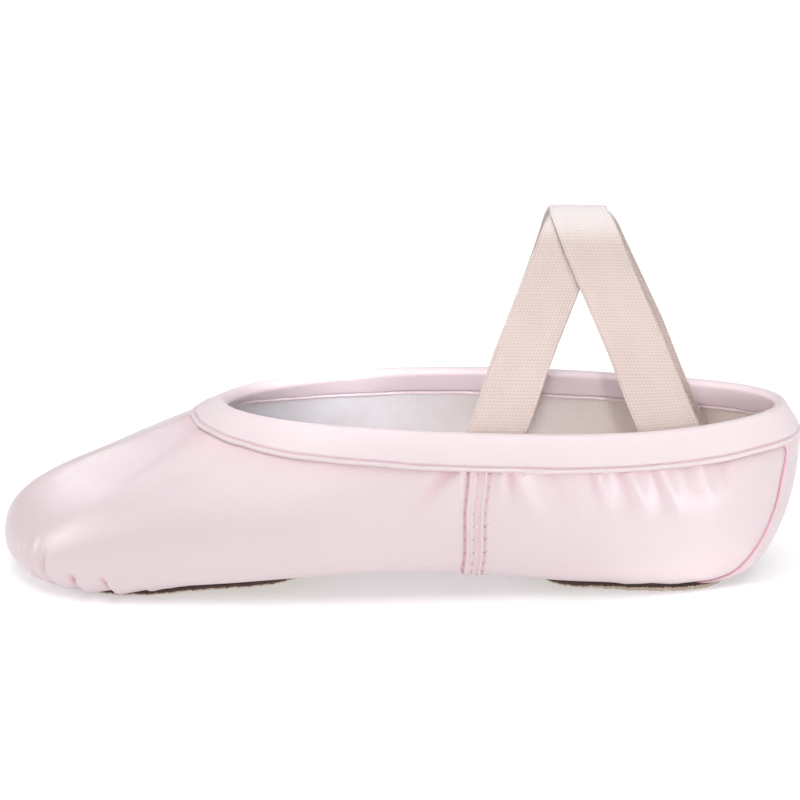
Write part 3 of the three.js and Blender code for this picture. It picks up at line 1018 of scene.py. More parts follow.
@dataclass
class NodeTree(Graph):
    """A Geometry Nodes tree with named inputs and a material."""

    inputs: dict[str, str]

    def __post_init__(self) -> None:
        """Makes the tree's sockets and its first node."""
        self.tree = bpy.data.node_groups.new(self.name, "GeometryNodeTree")
        geometry = {"Geometry": "NodeSocketGeometry"}
        for name, kind in {**geometry, **self.inputs, "Material": "NodeSocketMaterial"}.items():
            self.tree.interface.new_socket(name, in_out="INPUT", socket_type=kind)
        self.tree.interface.new_socket("Geometry", in_out="OUTPUT", socket_type="NodeSocketGeometry")
        self.given = self.node("NodeGroupInput")

    def end(self, shape: Socket) -> None:
        """Realizes what is there, gives it the material input and ends the tree.

        Args:
            shape: the geometry so far.
        """
        real = self.node("GeometryNodeRealizeInstances", {0: shape})
        soft = self.node("GeometryNodeSetShadeSmooth", {0: real[0]})
        made = self.node("GeometryNodeSetMaterial", {"Geometry": soft[0], "Material": self.given["Material"]})
        self.node("NodeGroupOutput", {0: made[0]})

    def apply(self, piece: Object, **values: Any) -> None:
        """Runs the tree on a piece and keeps its result as a plain mesh.

        Args:
            piece: the object that gives the geometry, and then holds the result.
            values: the tree's inputs, by their names in lower case with underscores.
        """
        modifier = piece.modifiers.new(self.name, "NODES")
        modifier.node_group = self.tree
        for item in self.tree.interface.items_tree:
            key = item.name.lower().replace(" ", "_")
            if item.item_type == "SOCKET" and item.in_out == "INPUT" and key in values:
                modifier[item.identifier] = values[key]
        graph = bpy.context.evaluated_depsgraph_get()
        mesh = bpy.data.meshes.new_from_object(piece.evaluated_get(graph), depsgraph=graph)
        piece.modifiers.remove(modifier)
        old, piece.data = piece.data, mesh
        bpy.data.meshes.remove(old)
        mesh.name = piece.name


def stitch_tree() -> NodeTree:
    """A tree that lays rounded stitches, end to end, along a path.

    Returns:
        The tree.
    """
    sizes = dict.fromkeys(("Pitch", "Stitch length", "Thread width", "Thread height"), "NodeSocketFloat")
    tree = NodeTree("stitches", {**sizes, "Seed": "NodeSocketInt"})
    given = tree.given
    path = tree.node("GeometryNodeMeshToCurve", {"Mesh": given["Geometry"]})
    steps = {"Curve": path[0], "Length": given["Pitch"]}
    places = tree.node("GeometryNodeResampleCurve", steps, mode="LENGTH")
    tangent = tree.node("GeometryNodeInputTangent")
    turn = tree.node("FunctionNodeAlignRotationToVector", {"Vector": tangent[0]}, axis="Z")
    grain = tree.node("GeometryNodeMeshUVSphere", {"Segments": 7, "Rings": 5, "Radius": 0.5})
    sides = {0: given["Thread width"], 1: given["Thread height"], 2: given["Stitch length"]}
    size = tree.node("ShaderNodeCombineXYZ", sides)
    stitch = tree.node("GeometryNodeTransform", {"Geometry": grain["Mesh"], "Scale": size[0]})
    least, most = STITCH_SIZES
    limits = {2: least, 3: most, "Seed": given["Seed"]}
    uneven = tree.node("FunctionNodeRandomValue", limits, data_type="FLOAT")
    laid = tree.node(
        "GeometryNodeInstanceOnPoints",
        {"Points": places[0], "Instance": stitch[0], "Rotation": turn[0], "Scale": uneven[1]},
    )
    tree.end(laid[0])
    return tree


def rib_tree() -> NodeTree:
    """A tree that raises ribs across a band, broken by columns along it.

    Returns:
        The tree.
    """
    sizes = ("Rib pitch", "Rib height", "Column pitch")
    tree = NodeTree("ribs", dict.fromkeys(sizes, "NodeSocketFloat"))
    waves = []
    for name, pitch in ((RUN, "Rib pitch"), (ACROSS, "Column pitch")):
        place = tree.node("GeometryNodeInputNamedAttribute", {"Name": name}, data_type="FLOAT")
        turns = tree.maths("DIVIDE", place[0], tree.given[pitch])
        waves.append(tree.maths("SINE", tree.maths("MULTIPLY", turns, 2 * math.pi)))
    broken = tree.maths("MULTIPLY_ADD", waves[1], RIB_BREAK, 1 - RIB_BREAK)
    rib = tree.maths("MULTIPLY", waves[0], broken)
    height = tree.maths("MULTIPLY", rib, tree.given["Rib height"])
    normal = tree.node("GeometryNodeInputNormal")
    move = tree.node("ShaderNodeVectorMath", {0: normal[0], "Scale": height}, operation="SCALE")
    raised = tree.node("GeometryNodeSetPosition", {"Geometry": tree.given["Geometry"], "Offset": move[0]})
    tree.end(raised[0])
    return tree


def settle(piece: Object, material: Material, slot: Slot, *nodes: str) -> Object:
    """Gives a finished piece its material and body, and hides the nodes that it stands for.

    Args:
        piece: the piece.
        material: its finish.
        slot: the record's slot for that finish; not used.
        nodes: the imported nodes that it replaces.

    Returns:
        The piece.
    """
    piece.data.materials.clear()
    piece.data.materials.append(material)
    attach(piece, BODY)
    if nodes:
        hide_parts(*nodes)
    log.info("%s: %d faces", piece.name, len(piece.data.polygons))
    return piece


@dataclass(frozen=True)
class Stitch:
    """Sizes of a row's stitches, in millimetres."""

    pitch: float
    length: float
    width: float
    height: float


@dataclass
class Seamstress:
    """Sews rows of stitches along paths."""

    last: Last
    tree: NodeTree = field(default_factory=stitch_tree)
    seed: int = 3

    def sew(self, name: str, paths: Sequence[tuple[Array, bool]], material: Material, slot: Slot,
            stitch: Stitch) -> Object:
        """Makes one piece of all the stitches along some paths.

        Args:
            name: the piece's name.
            paths: points in millimetres of each path, and whether it is closed.
            material: the thread's finish.
            slot: the record's slot for that finish.
            stitch: the stitches' sizes.

        Returns:
            The new piece.
        """
        edges: list[tuple[int, int]] = []
        first = 0
        for path, closed in paths:
            final = first + len(path) - 1
            edges += [(k, k + 1) for k in range(first, final)]
            edges += [(final, first)] if closed else []
            first = final + 1
        mesh = bpy.data.meshes.new(name)
        points = self.last.metres(np.concatenate([path for path, _ in paths]))
        mesh.from_pydata(points.tolist(), edges, [])
        piece = place_object(name, mesh)
        self.tree.apply(
            piece, pitch=stitch.pitch * MM, stitch_length=stitch.length * MM, thread_width=stitch.width * MM,
            thread_height=stitch.height * MM, seed=self.seed, material=material,
        )
        return settle(piece, material, slot)


# The pieces


@dataclass(frozen=True)
class Fold:
    """One soft crease of the cloth on one side, from a low end to a high one, raised or sunk."""

    low_t: float
    low_s: float
    high_t: float
    high_s: float
    width: float
    height: float
    held: Held
    fades: float = 0.8

    def raise_at(self, t: Array, s: Array, per_t: Array) -> Array:
        """Height of the fold at places of one side, in millimetres.

        Args:
            t: places along the side.
            s: places up the side.
            per_t: millimetres for one unit of t.

        Returns:
            Heights in millimetres.
        """
        part = (s - self.low_s) / (self.high_s - self.low_s)
        inside = np.clip(part, 0, 1)
        middle = self.low_t + (self.high_t - self.low_t) * inside
        hangs = self.held is Held.TOP
        strength = smooth(0, self.fades, inside if hangs else 1 - inside)
        beyond = part < 0 if hangs else part > 1
        return np.where(beyond, 0, self.height * strength * bell((t - middle) * per_t, self.width))


@dataclass(frozen=True)
class Lobe:
    """One pleat of the toe: a crease, listed upwards, with the cloth drawn over it from its heel side."""

    path: tuple[tuple[float, float], ...]
    height: float
    width: float
    shadow: float
    lip: float = 0.5
    lip_back: float = 0.1
    trough: float = 1.4
    trough_share: float = 0.5
    starts: tuple[float, float] = (0.7, 1.0)
    ends_early: float = 0.05

    def raise_at(self, t: Array, s: Array, per_t: Array) -> tuple[Array, Array]:
        """Height of the pleat, and depth of shadow in its crease, at places of one side.

        Args:
            t: places along the side.
            s: places up the side.
            per_t: millimetres for one unit of t at each place.

        Returns:
            Heights in millimetres, and shadows from 0 to 1.
        """
        crease_t, crease_s = np.array(self.path).T
        way = (t - np.interp(s, crease_s, crease_t)) * per_t
        strength = (1 - smooth(crease_s[-2] - self.ends_early, crease_s[-1], s)) * smooth(*self.starts, s)
        over = smooth(-self.lip_back, self.lip, way)
        raised = self.height * over * np.exp(-np.maximum(way, 0) / self.width)
        sunk = self.trough_share * self.height * (1 - over) * np.exp(-np.maximum(-way, 0) / self.trough)
        dark = (1 - over) * bell(np.minimum(way, 0), self.shadow)
        return strength * (raised - sunk), strength * dark


GATHERS = tuple(Fold(*row, Held.TOP) for row in (
    (6.02, 2.28, 6.46, 2.80, 2.6, -0.90),
    (6.51, 2.34, 6.49, 2.80, 0.9, 0.65),
    (6.83, 2.30, 6.86, 2.80, 0.9, 0.85),
    (6.97, 2.28, 6.92, 2.80, 1.1, -0.90),
    (7.28, 2.04, 6.95, 2.78, 3.2, 1.55),
    (7.56, 2.16, 7.24, 2.78, 2.4, -0.35),
    (7.66, 2.30, 7.50, 2.80, 2.2, 0.50),
    (7.82, 2.24, 7.64, 2.80, 1.3, -0.60),
    (7.97, 2.10, 7.69, 2.78, 2.6, 1.45),
    (8.20, 2.16, 7.92, 2.78, 1.8, -0.55),
    (8.40, 1.96, 8.03, 2.76, 2.8, 1.45),
    (8.62, 2.08, 8.28, 2.74, 1.8, -0.45),
    (8.74, 1.94, 8.38, 2.74, 2.4, 0.95),
    (8.96, 2.08, 8.72, 2.70, 1.6, -0.40),
    (9.12, 2.02, 8.88, 2.68, 1.8, 0.65),
    (9.34, 2.14, 9.20, 2.62, 1.8, -0.35),
))
PLEATS = tuple(Fold(*row, Held.FOOT) for row in (
    (0.20, 1.00, 0.22, 2.05, 1.7, 0.35),
    (0.45, 1.00, 0.48, 1.95, 1.3, -0.40),
    (0.68, 1.00, 0.70, 2.10, 1.7, 0.35),
    (0.92, 1.00, 0.95, 2.00, 1.3, -0.40),
    (1.59, 2.00, 1.00, 2.22, 1.5, 0.34),
    (1.73, 2.00, 1.34, 2.22, 1.2, -0.34),
    (1.88, 2.00, 1.48, 2.24, 1.3, 0.38),
    (1.96, 2.00, 1.60, 2.24, 1.0, -0.30),
    (3.50, 1.00, 3.48, 1.55, 1.6, 0.25),
    (3.80, 1.00, 3.78, 1.50, 1.6, -0.25),
    (8.20, 1.00, 8.16, 1.55, 2.2, 0.25),
    (8.52, 1.00, 8.48, 1.50, 1.8, -0.25),
    (8.84, 1.00, 8.80, 1.60, 2.2, 0.25),
))
LOBES = (
    Lobe(((1.20, 1.0), (1.19, 1.5), (1.16, 1.78)), 0.7, 3.0, 0.8),
    Lobe(((1.66, 1.0), (1.65, 1.5), (1.62, 1.84)), 0.8, 3.0, 0.8),
    Lobe(((2.14, 1.0), (2.13, 1.6), (2.10, 1.75), (2.06, 1.85), (2.02, 2.02), (1.94, 2.16)), 1.1, 3.5, 0.6),
    Lobe(((2.36, 1.0), (2.45, 1.4), (2.49, 1.58), (2.50, 1.84), (2.46, 2.0)), 1.7, 5.0, 1.7),
    Lobe(((2.74, 1.0), (2.84, 1.36), (2.92, 1.64), (2.91, 1.82), (2.86, 1.97)), 1.5, 5.0, 1.2),
    Lobe(((3.20, 1.0), (3.24, 1.35), (3.24, 1.55)), 0.7, 4.0, 0.9),
)


@dataclass
class SolePatch:
    """One suede patch of the split sole."""

    last: Last
    node: str
    from_x: float
    to_x: float
    beyond: float = 3.6
    roundness: float = 6.0
    ragged: float = 0.16
    ragged_waves: tuple[tuple[float, float], ...] = ((1.9, 0.0), (0.83, 1.0), (3.7, 0.0))
    stations: int = 180
    stitch_inset: float = 0.3
    stitch_drop: float = 0.3
    profile: tuple[tuple[float, float], ...] = (
        (1.2, 0.0), (0.7, 0.05), (0.4, 0.3), (0.22, 0.6), (0.1, 0.9), (0.0, 1.2), (0.12, 1.4), (0.5, 1.5),
    )

    def half(self, x: Array, inset: float = 0.0) -> Array:
        """Half width of the patch, or of the hole that it laps.

        Args:
            x: distances from the toe.
            inset: way in from the patch's edge.

        Returns:
            Half widths in millimetres.
        """
        from_x, to_x = self.from_x + inset, self.to_x - inset
        place = np.clip(np.abs(2 * (x - from_x) / (to_x - from_x) - 1), 0, 1)
        reach = np.maximum(self.last.feather_half(x) + self.beyond - inset, 0)
        cut = self.ragged * sum(np.sin(rate * x + first) for rate, first in self.ragged_waves)
        return np.maximum(reach + cut, 0) * np.sqrt(1 - place**self.roundness)

    def covers(self, points: Array, inset: float) -> Array:
        """Whether points lie within the patch, drawn in by an inset.

        Args:
            points: the points.
            inset: the inset, in millimetres.

        Returns:
            One truth for each point.
        """
        x, y = points[..., 0], points[..., 1]
        inside = (x > self.from_x + inset) & (x < self.to_x - inset)
        return inside & (np.abs(y) < self.half(x, inset))

    def plate(self) -> Plate:
        """The patch's plan."""
        return Plate(self.from_x, self.to_x, self.half, self.stations)

    def build(self, material: Material) -> Object:
        """Makes the patch.

        Args:
            material: its finish.

        Returns:
            The new piece.
        """
        last = self.last
        piece = self.plate().build(
            f"{self.node}_suede", last, self.profile, lambda x: last.sole_lift(x) - last.gap,
        )
        return settle(piece, material, Slot.SUEDE, self.node)

    def stitch_path(self) -> Array:
        """The row of stitches round its sloping edge.

        Returns:
            Points in millimetres.
        """
        ring = self.plate().ring(self.stitch_inset)
        height = self.last.sole_lift(ring[:, 0]) - self.last.gap - self.stitch_drop
        return np.column_stack([ring, height])


@dataclass
class Seam:
    """The side seam: three sewn rows, with a rolled welt behind the first row and one before the last."""

    rows: tuple[float, ...] = (6.56, 6.642, 6.748)
    bends: tuple[tuple[float, float, float], ...] = ((0.036, 0.0, 0.45), (0.022, 0.75, 1.2))
    top_s: float = 2.72
    base: float = 0.3
    edge: float = 0.3
    welt: float = 0.95
    welt_places: tuple[float, float] = (0.36, 0.28)
    welt_halves: tuple[float, float] = (0.85, 0.8)
    welt_round: float = 1.2
    puff: float = 0.15
    under_share: float = 0.25
    under_turns: tuple[float, float] = (0.95, 1.3)
    sunk: tuple[float, ...] = (0.5, 0.25, 0.4)
    row_width: tuple[float, ...] = (0.36, 0.3, 0.3)
    # Painted shade along each row and in the valley between the last two rows
    row_shade: tuple[float, ...] = (0.5, 0.15, 0.32)
    valley_place: float = 0.2
    valley_width: float = 0.9
    valley_shade: float = 0.16
    pitch: float = 4.05

    def row_t(self, row: int, s: Array) -> Array:
        """Place of a row along the side, at each height.

        Args:
            row: number of the row.
            s: the heights.

        Returns:
            Values of t.
        """
        place = self.rows[row]
        for way, start, end in self.bends:
            place = place - way * smooth(start, end, self.top_s - s)
        return place

    def raise_at(self, t: Array, s: Array, per_t: Array, climb: Array) -> Array:
        """Height of the welts and rows at places of one side, in millimetres.

        Args:
            t: places along the side.
            s: places up the side.
            per_t: millimetres for one unit of t.
            climb: millimetres up the cloth.

        Returns:
            Heights in millimetres.
        """
        first, second, third = (self.row_t(k, s) for k in range(3))
        puff = 1 - self.puff + self.puff * np.cos(2 * np.pi * climb / self.pitch)
        edges = (smooth(-self.edge, self.edge, way * per_t) for way in (t - first, third - t))
        height = self.base * math.prod(edges)
        behind, before = self.welt_places
        middles = (first + behind * (second - first), third - before * (third - second))
        for middle, half in zip(middles, self.welt_halves):
            across = np.clip((t - middle) * per_t / half, -1, 1)
            height += self.welt * puff * np.cos(across * np.pi / 2) ** self.welt_round
        for row, sunk, width in zip((first, second, third), self.sunk, self.row_width):
            height -= sunk * bell((t - row) * per_t, width)
        return height * (self.under_share + (1 - self.under_share) * smooth(*self.under_turns, s))

    def marks(self, t: Array, s: Array, per_t: Array) -> Array:
        """Painted shade along the sewn rows and in the valley between the last two, from 0 to 1.

        Args:
            t: places along the side.
            s: places up the side.
            per_t: millimetres for one unit of t.

        Returns:
            Shades from 0 to 1.
        """
        rows = [self.row_t(k, s) for k in range(3)]
        valley = rows[1] + self.valley_place * (rows[2] - rows[1])
        widths, shades = (*self.row_width, self.valley_width), (*self.row_shade, self.valley_shade)
        lines = zip([*rows, valley], widths, shades)
        return np.max([shade * bell((t - row) * per_t, width) for row, width, shade in lines], axis=0)


@dataclass
class Upper:
    """The satin upper with its lining, folds and side seams."""

    last: Last
    patches: Sequence[SolePatch]
    seam: Seam = field(default_factory=Seam)
    lap: float = 9.5
    satin_thick: float = 0.7
    lining_gap: float = 0.05
    binding_outside: float = BINDING_OUTSIDE
    plain_step: float = 2.2
    fold_step: float = 0.8
    toe_folds_to: float = 4.0
    gathers_at: tuple[float, float] = (6.1, 9.4)
    pleat_step: float = 0.6
    pleats_at: tuple[float, float] = (1.1, 3.3)
    seam_step: float = 0.3
    seam_margins: tuple[float, float] = (0.1, 0.03)
    column_samples: int = 4000
    under_rows: int = 6
    edge_rows: int = 20
    wall_rows: int = 42
    bound_rows: int = 2
    far_shift: float = 0.05
    slack: float = 0.07
    slack_waves: tuple[float, float] = (9.0, 23.0)
    slack_rises: tuple[float, float] = (7.0, 11.0)
    slack_bend: float = 1.3
    slack_far: float = 2.0
    slack_from: tuple[float, float] = (1.0, 1.5)
    slack_to: tuple[float, float] = (2.5, 2.75)
    # Painted shade in fold troughs and in the line under the binding
    fold_shade: float = 0.3
    binding_shade: float = 0.25
    binding_shade_way: float = 0.05
    tucked: float = 0.45
    swells: float = 30.0
    deepest: float = 0.6
    resting_to: float = 1.25
    resting_height: float = 0.12
    resting_margin: float = 1.0
    lining_columns: int = 150
    lining_from: float = 0.7
    lining_rows: tuple[int, int] = (16, 26)
    lining_below: float = 1.0
    path_points: int = 160
    path_below: float = 0.6
    path_ends: float = 0.02
    top_margin: float = 0.2

    def half_columns(self) -> Array:
        """Columns of one side, closer together where the cloth has folds and at the seam.

        Returns:
            Values of t.
        """
        t = np.linspace(0, self.last.side, self.column_samples)
        before, after = self.seam_margins
        seam_at = (self.seam.rows[0] - before, self.seam.rows[2] + after)
        step = np.where(t < self.toe_folds_to, self.fold_step, self.plain_step)
        for (low, high), size in (
            (self.gathers_at, self.fold_step), (self.pleats_at, self.pleat_step), (seam_at, self.seam_step),
        ):
            step[(t > low) & (t < high)] = size
        run = running(length(np.diff(self.last.point(t, 2.0), axis=0)) / step[1:])
        return spaced(run, t, round(run[-1]))

    def round_columns(self, side: Array) -> Array:
        """Columns all the way round, from those of one side."""
        return np.concatenate([side, self.last.round - side[-2:0:-1]])

    def rows(self, tau: Array, top: float) -> Array:
        """Heights of each column's points, one row for each step up.

        Args:
            tau: the columns.
            top: depth of the bound part.

        Returns:
            Rows of s.
        """
        under = np.linspace(0, 1, self.under_rows + 1)
        edge = np.linspace(1, 2, self.edge_rows + 1)[1:]
        bound = self.last.below_collar(tau, top)
        wall = 2 + np.linspace(0, 1, self.wall_rows + 1)[1:, None] * (bound - 2)
        rim = bound + np.linspace(0, 1, self.bound_rows + 1)[1:, None] * (3 - bound)
        low = np.broadcast_to(np.concatenate([under, edge])[:, None], (len(under) + len(edge), len(tau)))
        return np.concatenate([low, wall, rim])

    def relief(self, tau: Array, s: Array) -> tuple[Array, Array]:
        """Height of folds and seams over the plain form, and the painted shade in each place's crease.

        Args:
            tau: places round the shoe.
            s: places up the shoe.

        Returns:
            Heights in millimetres, and painted crease shade from 0 to 1.
        """
        last = self.last
        points = last.point(tau, s)
        per_t = length(last.rises(tau, s)[0])
        far = tau > last.side
        t = np.where(far, last.round - tau, tau)
        climb = running(length(np.diff(points, axis=0)))
        shifted = np.where(far, t + self.far_shift, t)
        folds = np.zeros_like(t)
        sunk = np.zeros_like(t)
        for fold in (*GATHERS, *PLEATS):
            height = fold.raise_at(shifted, s, per_t)
            folds += height
            # Painted shade in the trough of each sunk fold
            sunk += self.fold_shade * np.maximum(-height, 0)
        for lobe in LOBES:
            height, dark = lobe.raise_at(shifted, s, per_t)
            folds += height
            sunk = np.maximum(sunk, dark)
        folds += self.slack_at(points, s, far)
        top = last.below_collar(tau[-1], self.binding_outside)
        below = np.maximum(top - s, 0)
        shade = self.binding_shade * np.exp(-below / self.binding_shade_way) * (s < top)
        folds = np.minimum(folds, self.tucked + self.swells * below)
        height = folds + self.seam.raise_at(t, s, per_t, climb)
        resting = self.covered(points, -self.resting_margin) & (s < self.resting_to)
        height = np.where(resting, np.minimum(height, self.resting_height), height)
        height = np.where(s > top, np.minimum(height, 0.0), height)
        # Painted shade: fold troughs, pleat creases, seam rows and the line under the binding
        crease = np.clip(sunk + self.seam.marks(t, s, per_t) + shade, 0, 1)
        return np.maximum(height, -self.deepest), crease

    def slack_at(self, points: Array, s: Array, far: Array) -> Array:
        """Height of the slight unevenness of hanging cloth.

        Args:
            points: the points.
            s: how far up each lies.
            far: whether each is on the far side.

        Returns:
            Heights in millimetres.
        """
        x, z = points[..., 0], points[..., 2]
        (short, long), (steep, flat) = self.slack_waves, self.slack_rises
        bent = np.sin(x / short + self.slack_bend * np.sin(z / steep) + np.where(far, self.slack_far, 0.0))
        body = smooth(*self.slack_from, s) * (1 - smooth(*self.slack_to, s))
        return self.slack * (bent + np.sin(x / long - z / flat)) * body

    def covered(self, points: Array, inset: float) -> Array:
        """Whether points lie within a sole patch, drawn in by an inset."""
        return np.any([patch.covers(points, inset) for patch in self.patches], axis=0)

    def build_satin(self, material: Material) -> Object:
        """Makes the satin shell.

        Args:
            material: its finish.

        Returns:
            The new piece.
        """
        last = self.last
        columns = self.round_columns(self.half_columns())
        s = self.rows(columns, self.binding_outside + self.top_margin)
        tau = np.broadcast_to(columns, s.shape)
        height, crease = self.relief(tau, s)
        outer = last.shell(tau, s, height)
        inner = last.shell(tau, s, -self.satin_thick)
        ring = np.concatenate([last.point(tau, s), last.point(tau[:, :1], s[:, :1])], 1)
        middle = (ring[:-1, :-1] + ring[1:, 1:]) / 2
        low = (np.arange(len(s) - 1) < self.under_rows)[:, None]
        shell = Shell(outer, inner, True, True, ~(self.covered(middle, self.lap) & low), {PAINTED_CREASE_SHADE: crease})
        return settle(shell.build("satin_upper", last), material, Slot.SATIN, "upper")

    def build_lining(self, material: Material) -> Object:
        """Makes the cloth lining inside the satin.

        Args:
            material: its finish.

        Returns:
            The new piece.
        """
        last = self.last
        columns = self.round_columns(np.linspace(0, last.side, self.lining_columns))
        low_rows, high_rows = self.lining_rows
        low = np.linspace(self.lining_from, 2, low_rows)[:, None] + np.zeros(len(columns))
        top = last.below_collar(columns, self.lining_below)
        s = np.concatenate([low, 2 + np.linspace(0, 1, high_rows)[1:, None] * (top - 2)])
        tau = np.broadcast_to(columns, s.shape)
        outer = last.shell(tau, s, -self.satin_thick - self.lining_gap)
        inner = last.shell(tau, s, -last.wall)
        return settle(Shell(outer, inner, True).build("upper_lining", last), material, Slot.COTTON)

    def seam_paths(self, rows: Sequence[int], height: float, behind: float = 0.0) -> list[tuple[Array, bool]]:
        """Some of the seam's rows, on each side.

        Args:
            rows: which rows.
            height: height over the plain form.
            behind: how far behind the row the path runs.

        Returns:
            The points of each path, and that it is open.
        """
        last = self.last
        paths = []
        for row in rows:
            top = float(last.below_collar(self.seam.rows[row], self.binding_outside + self.path_below))
            s = np.linspace(top, self.path_ends, self.path_points)
            t = self.seam.row_t(row, s)
            t = t + behind / length(last.rises(t, s)[0])
            paths += [(last.shell(tau, s, height), False) for tau in (t, last.round - t)]
        return paths


@dataclass
class Binding:
    """The folded tape over the collar's edge, with a sewn groove and a bead along each lower edge."""

    last: Last
    outside: float = BINDING_OUTSIDE
    inside: float = 8.2
    thick: float = BINDING_THICK
    bead: float = 1.5
    groove: float = 0.32
    groove_depth: float = 0.7
    puff: float = 0.22
    roll: tuple[float, float] = (0.3, 0.95)
    roll_start: float = 0.14
    fullness: float = 0.7
    sewn_shade: float = 0.6
    sewn_width: float = 0.3
    sewn_above: float = 0.12
    edge_shade: float = 0.5
    edge_width: float = 0.14
    back_share: float = 0.6
    flap_light_from: float = 0.35
    stitch_lift: float = 0.02
    wander: float = 0.1
    wander_rates: tuple[float, ...] = (4.3, 7.9, 1.7)
    wander_start: float = 0.4
    wander_share: float = 0.8
    columns: int = 560
    column_samples: int = 3000
    spaced_at: float = 2.9
    face_points: int = 8
    face_ends: float = 1.1
    groove_points: tuple[float, ...] = (-0.7, -0.4, -0.2, -0.05, 0.12, 0.3, 0.55)
    bead_points: tuple[float, ...] = (0.7, 0.45, 0.22, 0.08, 0.0)
    rim_points: int = 9

    def lift(self, distance: Array, depth: float) -> Array:
        """Thickness of the tape at distances below the rim, for a flap of a given depth.

        Args:
            distance: the distances.
            depth: the flap's depth.

        Returns:
            Thicknesses in millimetres.
        """
        sewn = depth - self.bead
        body = 1 + self.puff * np.sin(np.pi * np.clip(distance / sewn, 0, 1)) ** self.fullness
        bead = np.clip((distance - sewn) / self.bead, 0, 1)
        turn = np.pi * (self.roll_start + (1 - self.roll_start) * bead)
        least, more = self.roll
        roll = np.where(distance > sewn, least + more * np.sin(turn) ** self.fullness, body)
        return self.thick * roll * (1 - self.groove_depth * bell(distance - sewn, self.groove))

    def shade(self, distance: Array, depth: float) -> Array:
        """Painted shade of the sewn groove and of the fold under the bead, from 0 to 1.

        Args:
            distance: ways below the rim.
            depth: the flap's depth.

        Returns:
            Shades from 0 to 1.
        """
        sewn = bell(distance - depth + self.bead + self.sewn_above, self.sewn_width)
        edge = smooth(depth - self.edge_width, depth, distance)
        return np.maximum(self.sewn_shade * sewn, self.edge_shade * edge)

    def distances(self, depth: float) -> Array:
        """Distances below the rim where the tape has points, close together at the groove and bead.

        Args:
            depth: the flap's depth.

        Returns:
            Distances in millimetres.
        """
        sewn = depth - self.bead
        face = np.linspace(0, sewn - self.face_ends, self.face_points)
        groove = sewn + np.array(self.groove_points)
        return np.concatenate([face, groove, depth - np.array(self.bead_points)])

    def wave(self, tau: Array) -> Array:
        """How far the lower edge wanders from its even line, in millimetres.

        Args:
            tau: places round the shoe.

        Returns:
            Ways in millimetres.
        """
        first, second, third = self.wander_rates
        uneven = self.wander_share * np.sin(second * tau) * np.cos(third * tau)
        return self.wander * (np.sin(first * tau + self.wander_start) + uneven)

    def below(self, tau: Array, distances: Array, depth: float) -> Array:
        """The s of each distance below the rim, drawn out or in as the lower edge wanders."""
        stretch = 1 + self.wave(tau)[:, None] / depth
        return self.last.below_collar(tau[:, None], distances * stretch)

    def profiles(self, tau: Array) -> tuple[Array, dict[str, Array]]:
        """One closed profile of the tape at each place round the collar.

        Args:
            tau: the places.

        Returns:
            The profiles' points, and the painted crease shade and painted flap light of each point of a
            profile.
        """
        last = self.last
        out_d, in_d = self.distances(self.outside), self.distances(self.inside)
        out_s, in_s = self.below(tau, out_d, self.outside), self.below(tau, in_d, self.inside)
        spread = np.broadcast_to(tau[:, None], out_s.shape)
        out_lift = np.broadcast_to(last.gap + self.lift(out_d, self.outside), out_s.shape)
        in_lift = np.broadcast_to(-last.wall - last.gap - self.lift(in_d, self.inside), in_s.shape)
        outer, inner = last.shell(spread, out_s, out_lift), last.shell(spread, in_s, in_lift)
        clear = last.gap * self.back_share
        outer_back = last.shell(spread, out_s, clear)
        inner_back = last.shell(spread, in_s, -last.wall - clear)
        rim = last.point(tau, 3.0)
        up = unit(rim - last.point(tau, 3 - FINE))
        out = last.normal(tau, 3.0)
        turn = np.linspace(0, np.pi, self.rim_points)[1:-1]
        reach = last.wall / 2 + last.gap + self.thick
        across = -last.wall / 2 + reach * np.cos(turn)
        above = (last.gap + self.thick) * np.sin(turn)
        over = rim[:, None] + out[:, None] * across[:, None] + up[:, None] * above[:, None]
        low_across = np.array([-last.wall - clear, clear])
        under = rim[:, None] + out[:, None] * low_across[:, None] + up[:, None] * clear
        points = np.concatenate([outer[:, ::-1], over, inner, inner_back[:, ::-1], under, outer_back], 1)
        # Painted shade of the sewn groove and under the bead, outside and inside
        out_shade, in_shade = self.shade(out_d, self.outside), self.shade(in_d, self.inside)
        hidden = np.zeros(len(in_d) + 2 + len(out_d))
        crease = np.concatenate([out_shade[::-1], np.zeros(len(turn)), in_shade, hidden])
        # Painted light on the inner flap, rising over the rim's roll
        rolled = smooth(self.flap_light_from * np.pi, np.pi, turn)
        inside = np.concatenate([np.zeros(len(out_d)), rolled, np.ones(len(in_d)), hidden])
        return points, {PAINTED_CREASE_SHADE: crease, PAINTED_FLAP_LIGHT: inside}

    def round_tau(self) -> Array:
        """Places round the collar, evenly along its edge.

        Returns:
            Values of tau.
        """
        last = self.last
        tau = np.linspace(0, last.round, self.column_samples)
        run = running(length(np.diff(last.point(tau, self.spaced_at), axis=0)))
        return spaced(run, tau, self.columns)[:-1]

    def build(self, material: Material) -> Object:
        """Makes the tape."""
        piece = swept_loop("collar_binding_tape", self.last, *self.profiles(self.round_tau()))
        return settle(piece, material, Slot.BINDING, "collar_binding")

    def stitch_paths(self) -> list[tuple[Array, bool]]:
        """The sewn line outside and inside.

        Returns:
            The points of each line, and that it is closed.
        """
        last = self.last
        tau = self.round_tau()
        paths = []
        for depth, sign, base in ((self.outside, 1, last.gap), (self.inside, -1, last.wall + last.gap)):
            sewn = depth - self.bead
            s = self.below(tau, np.array([sewn]), depth)[:, 0]
            offset = sign * (base + self.lift(np.array(sewn), depth) + self.stitch_lift)
            paths.append((last.shell(tau, s, offset), True))
        return paths


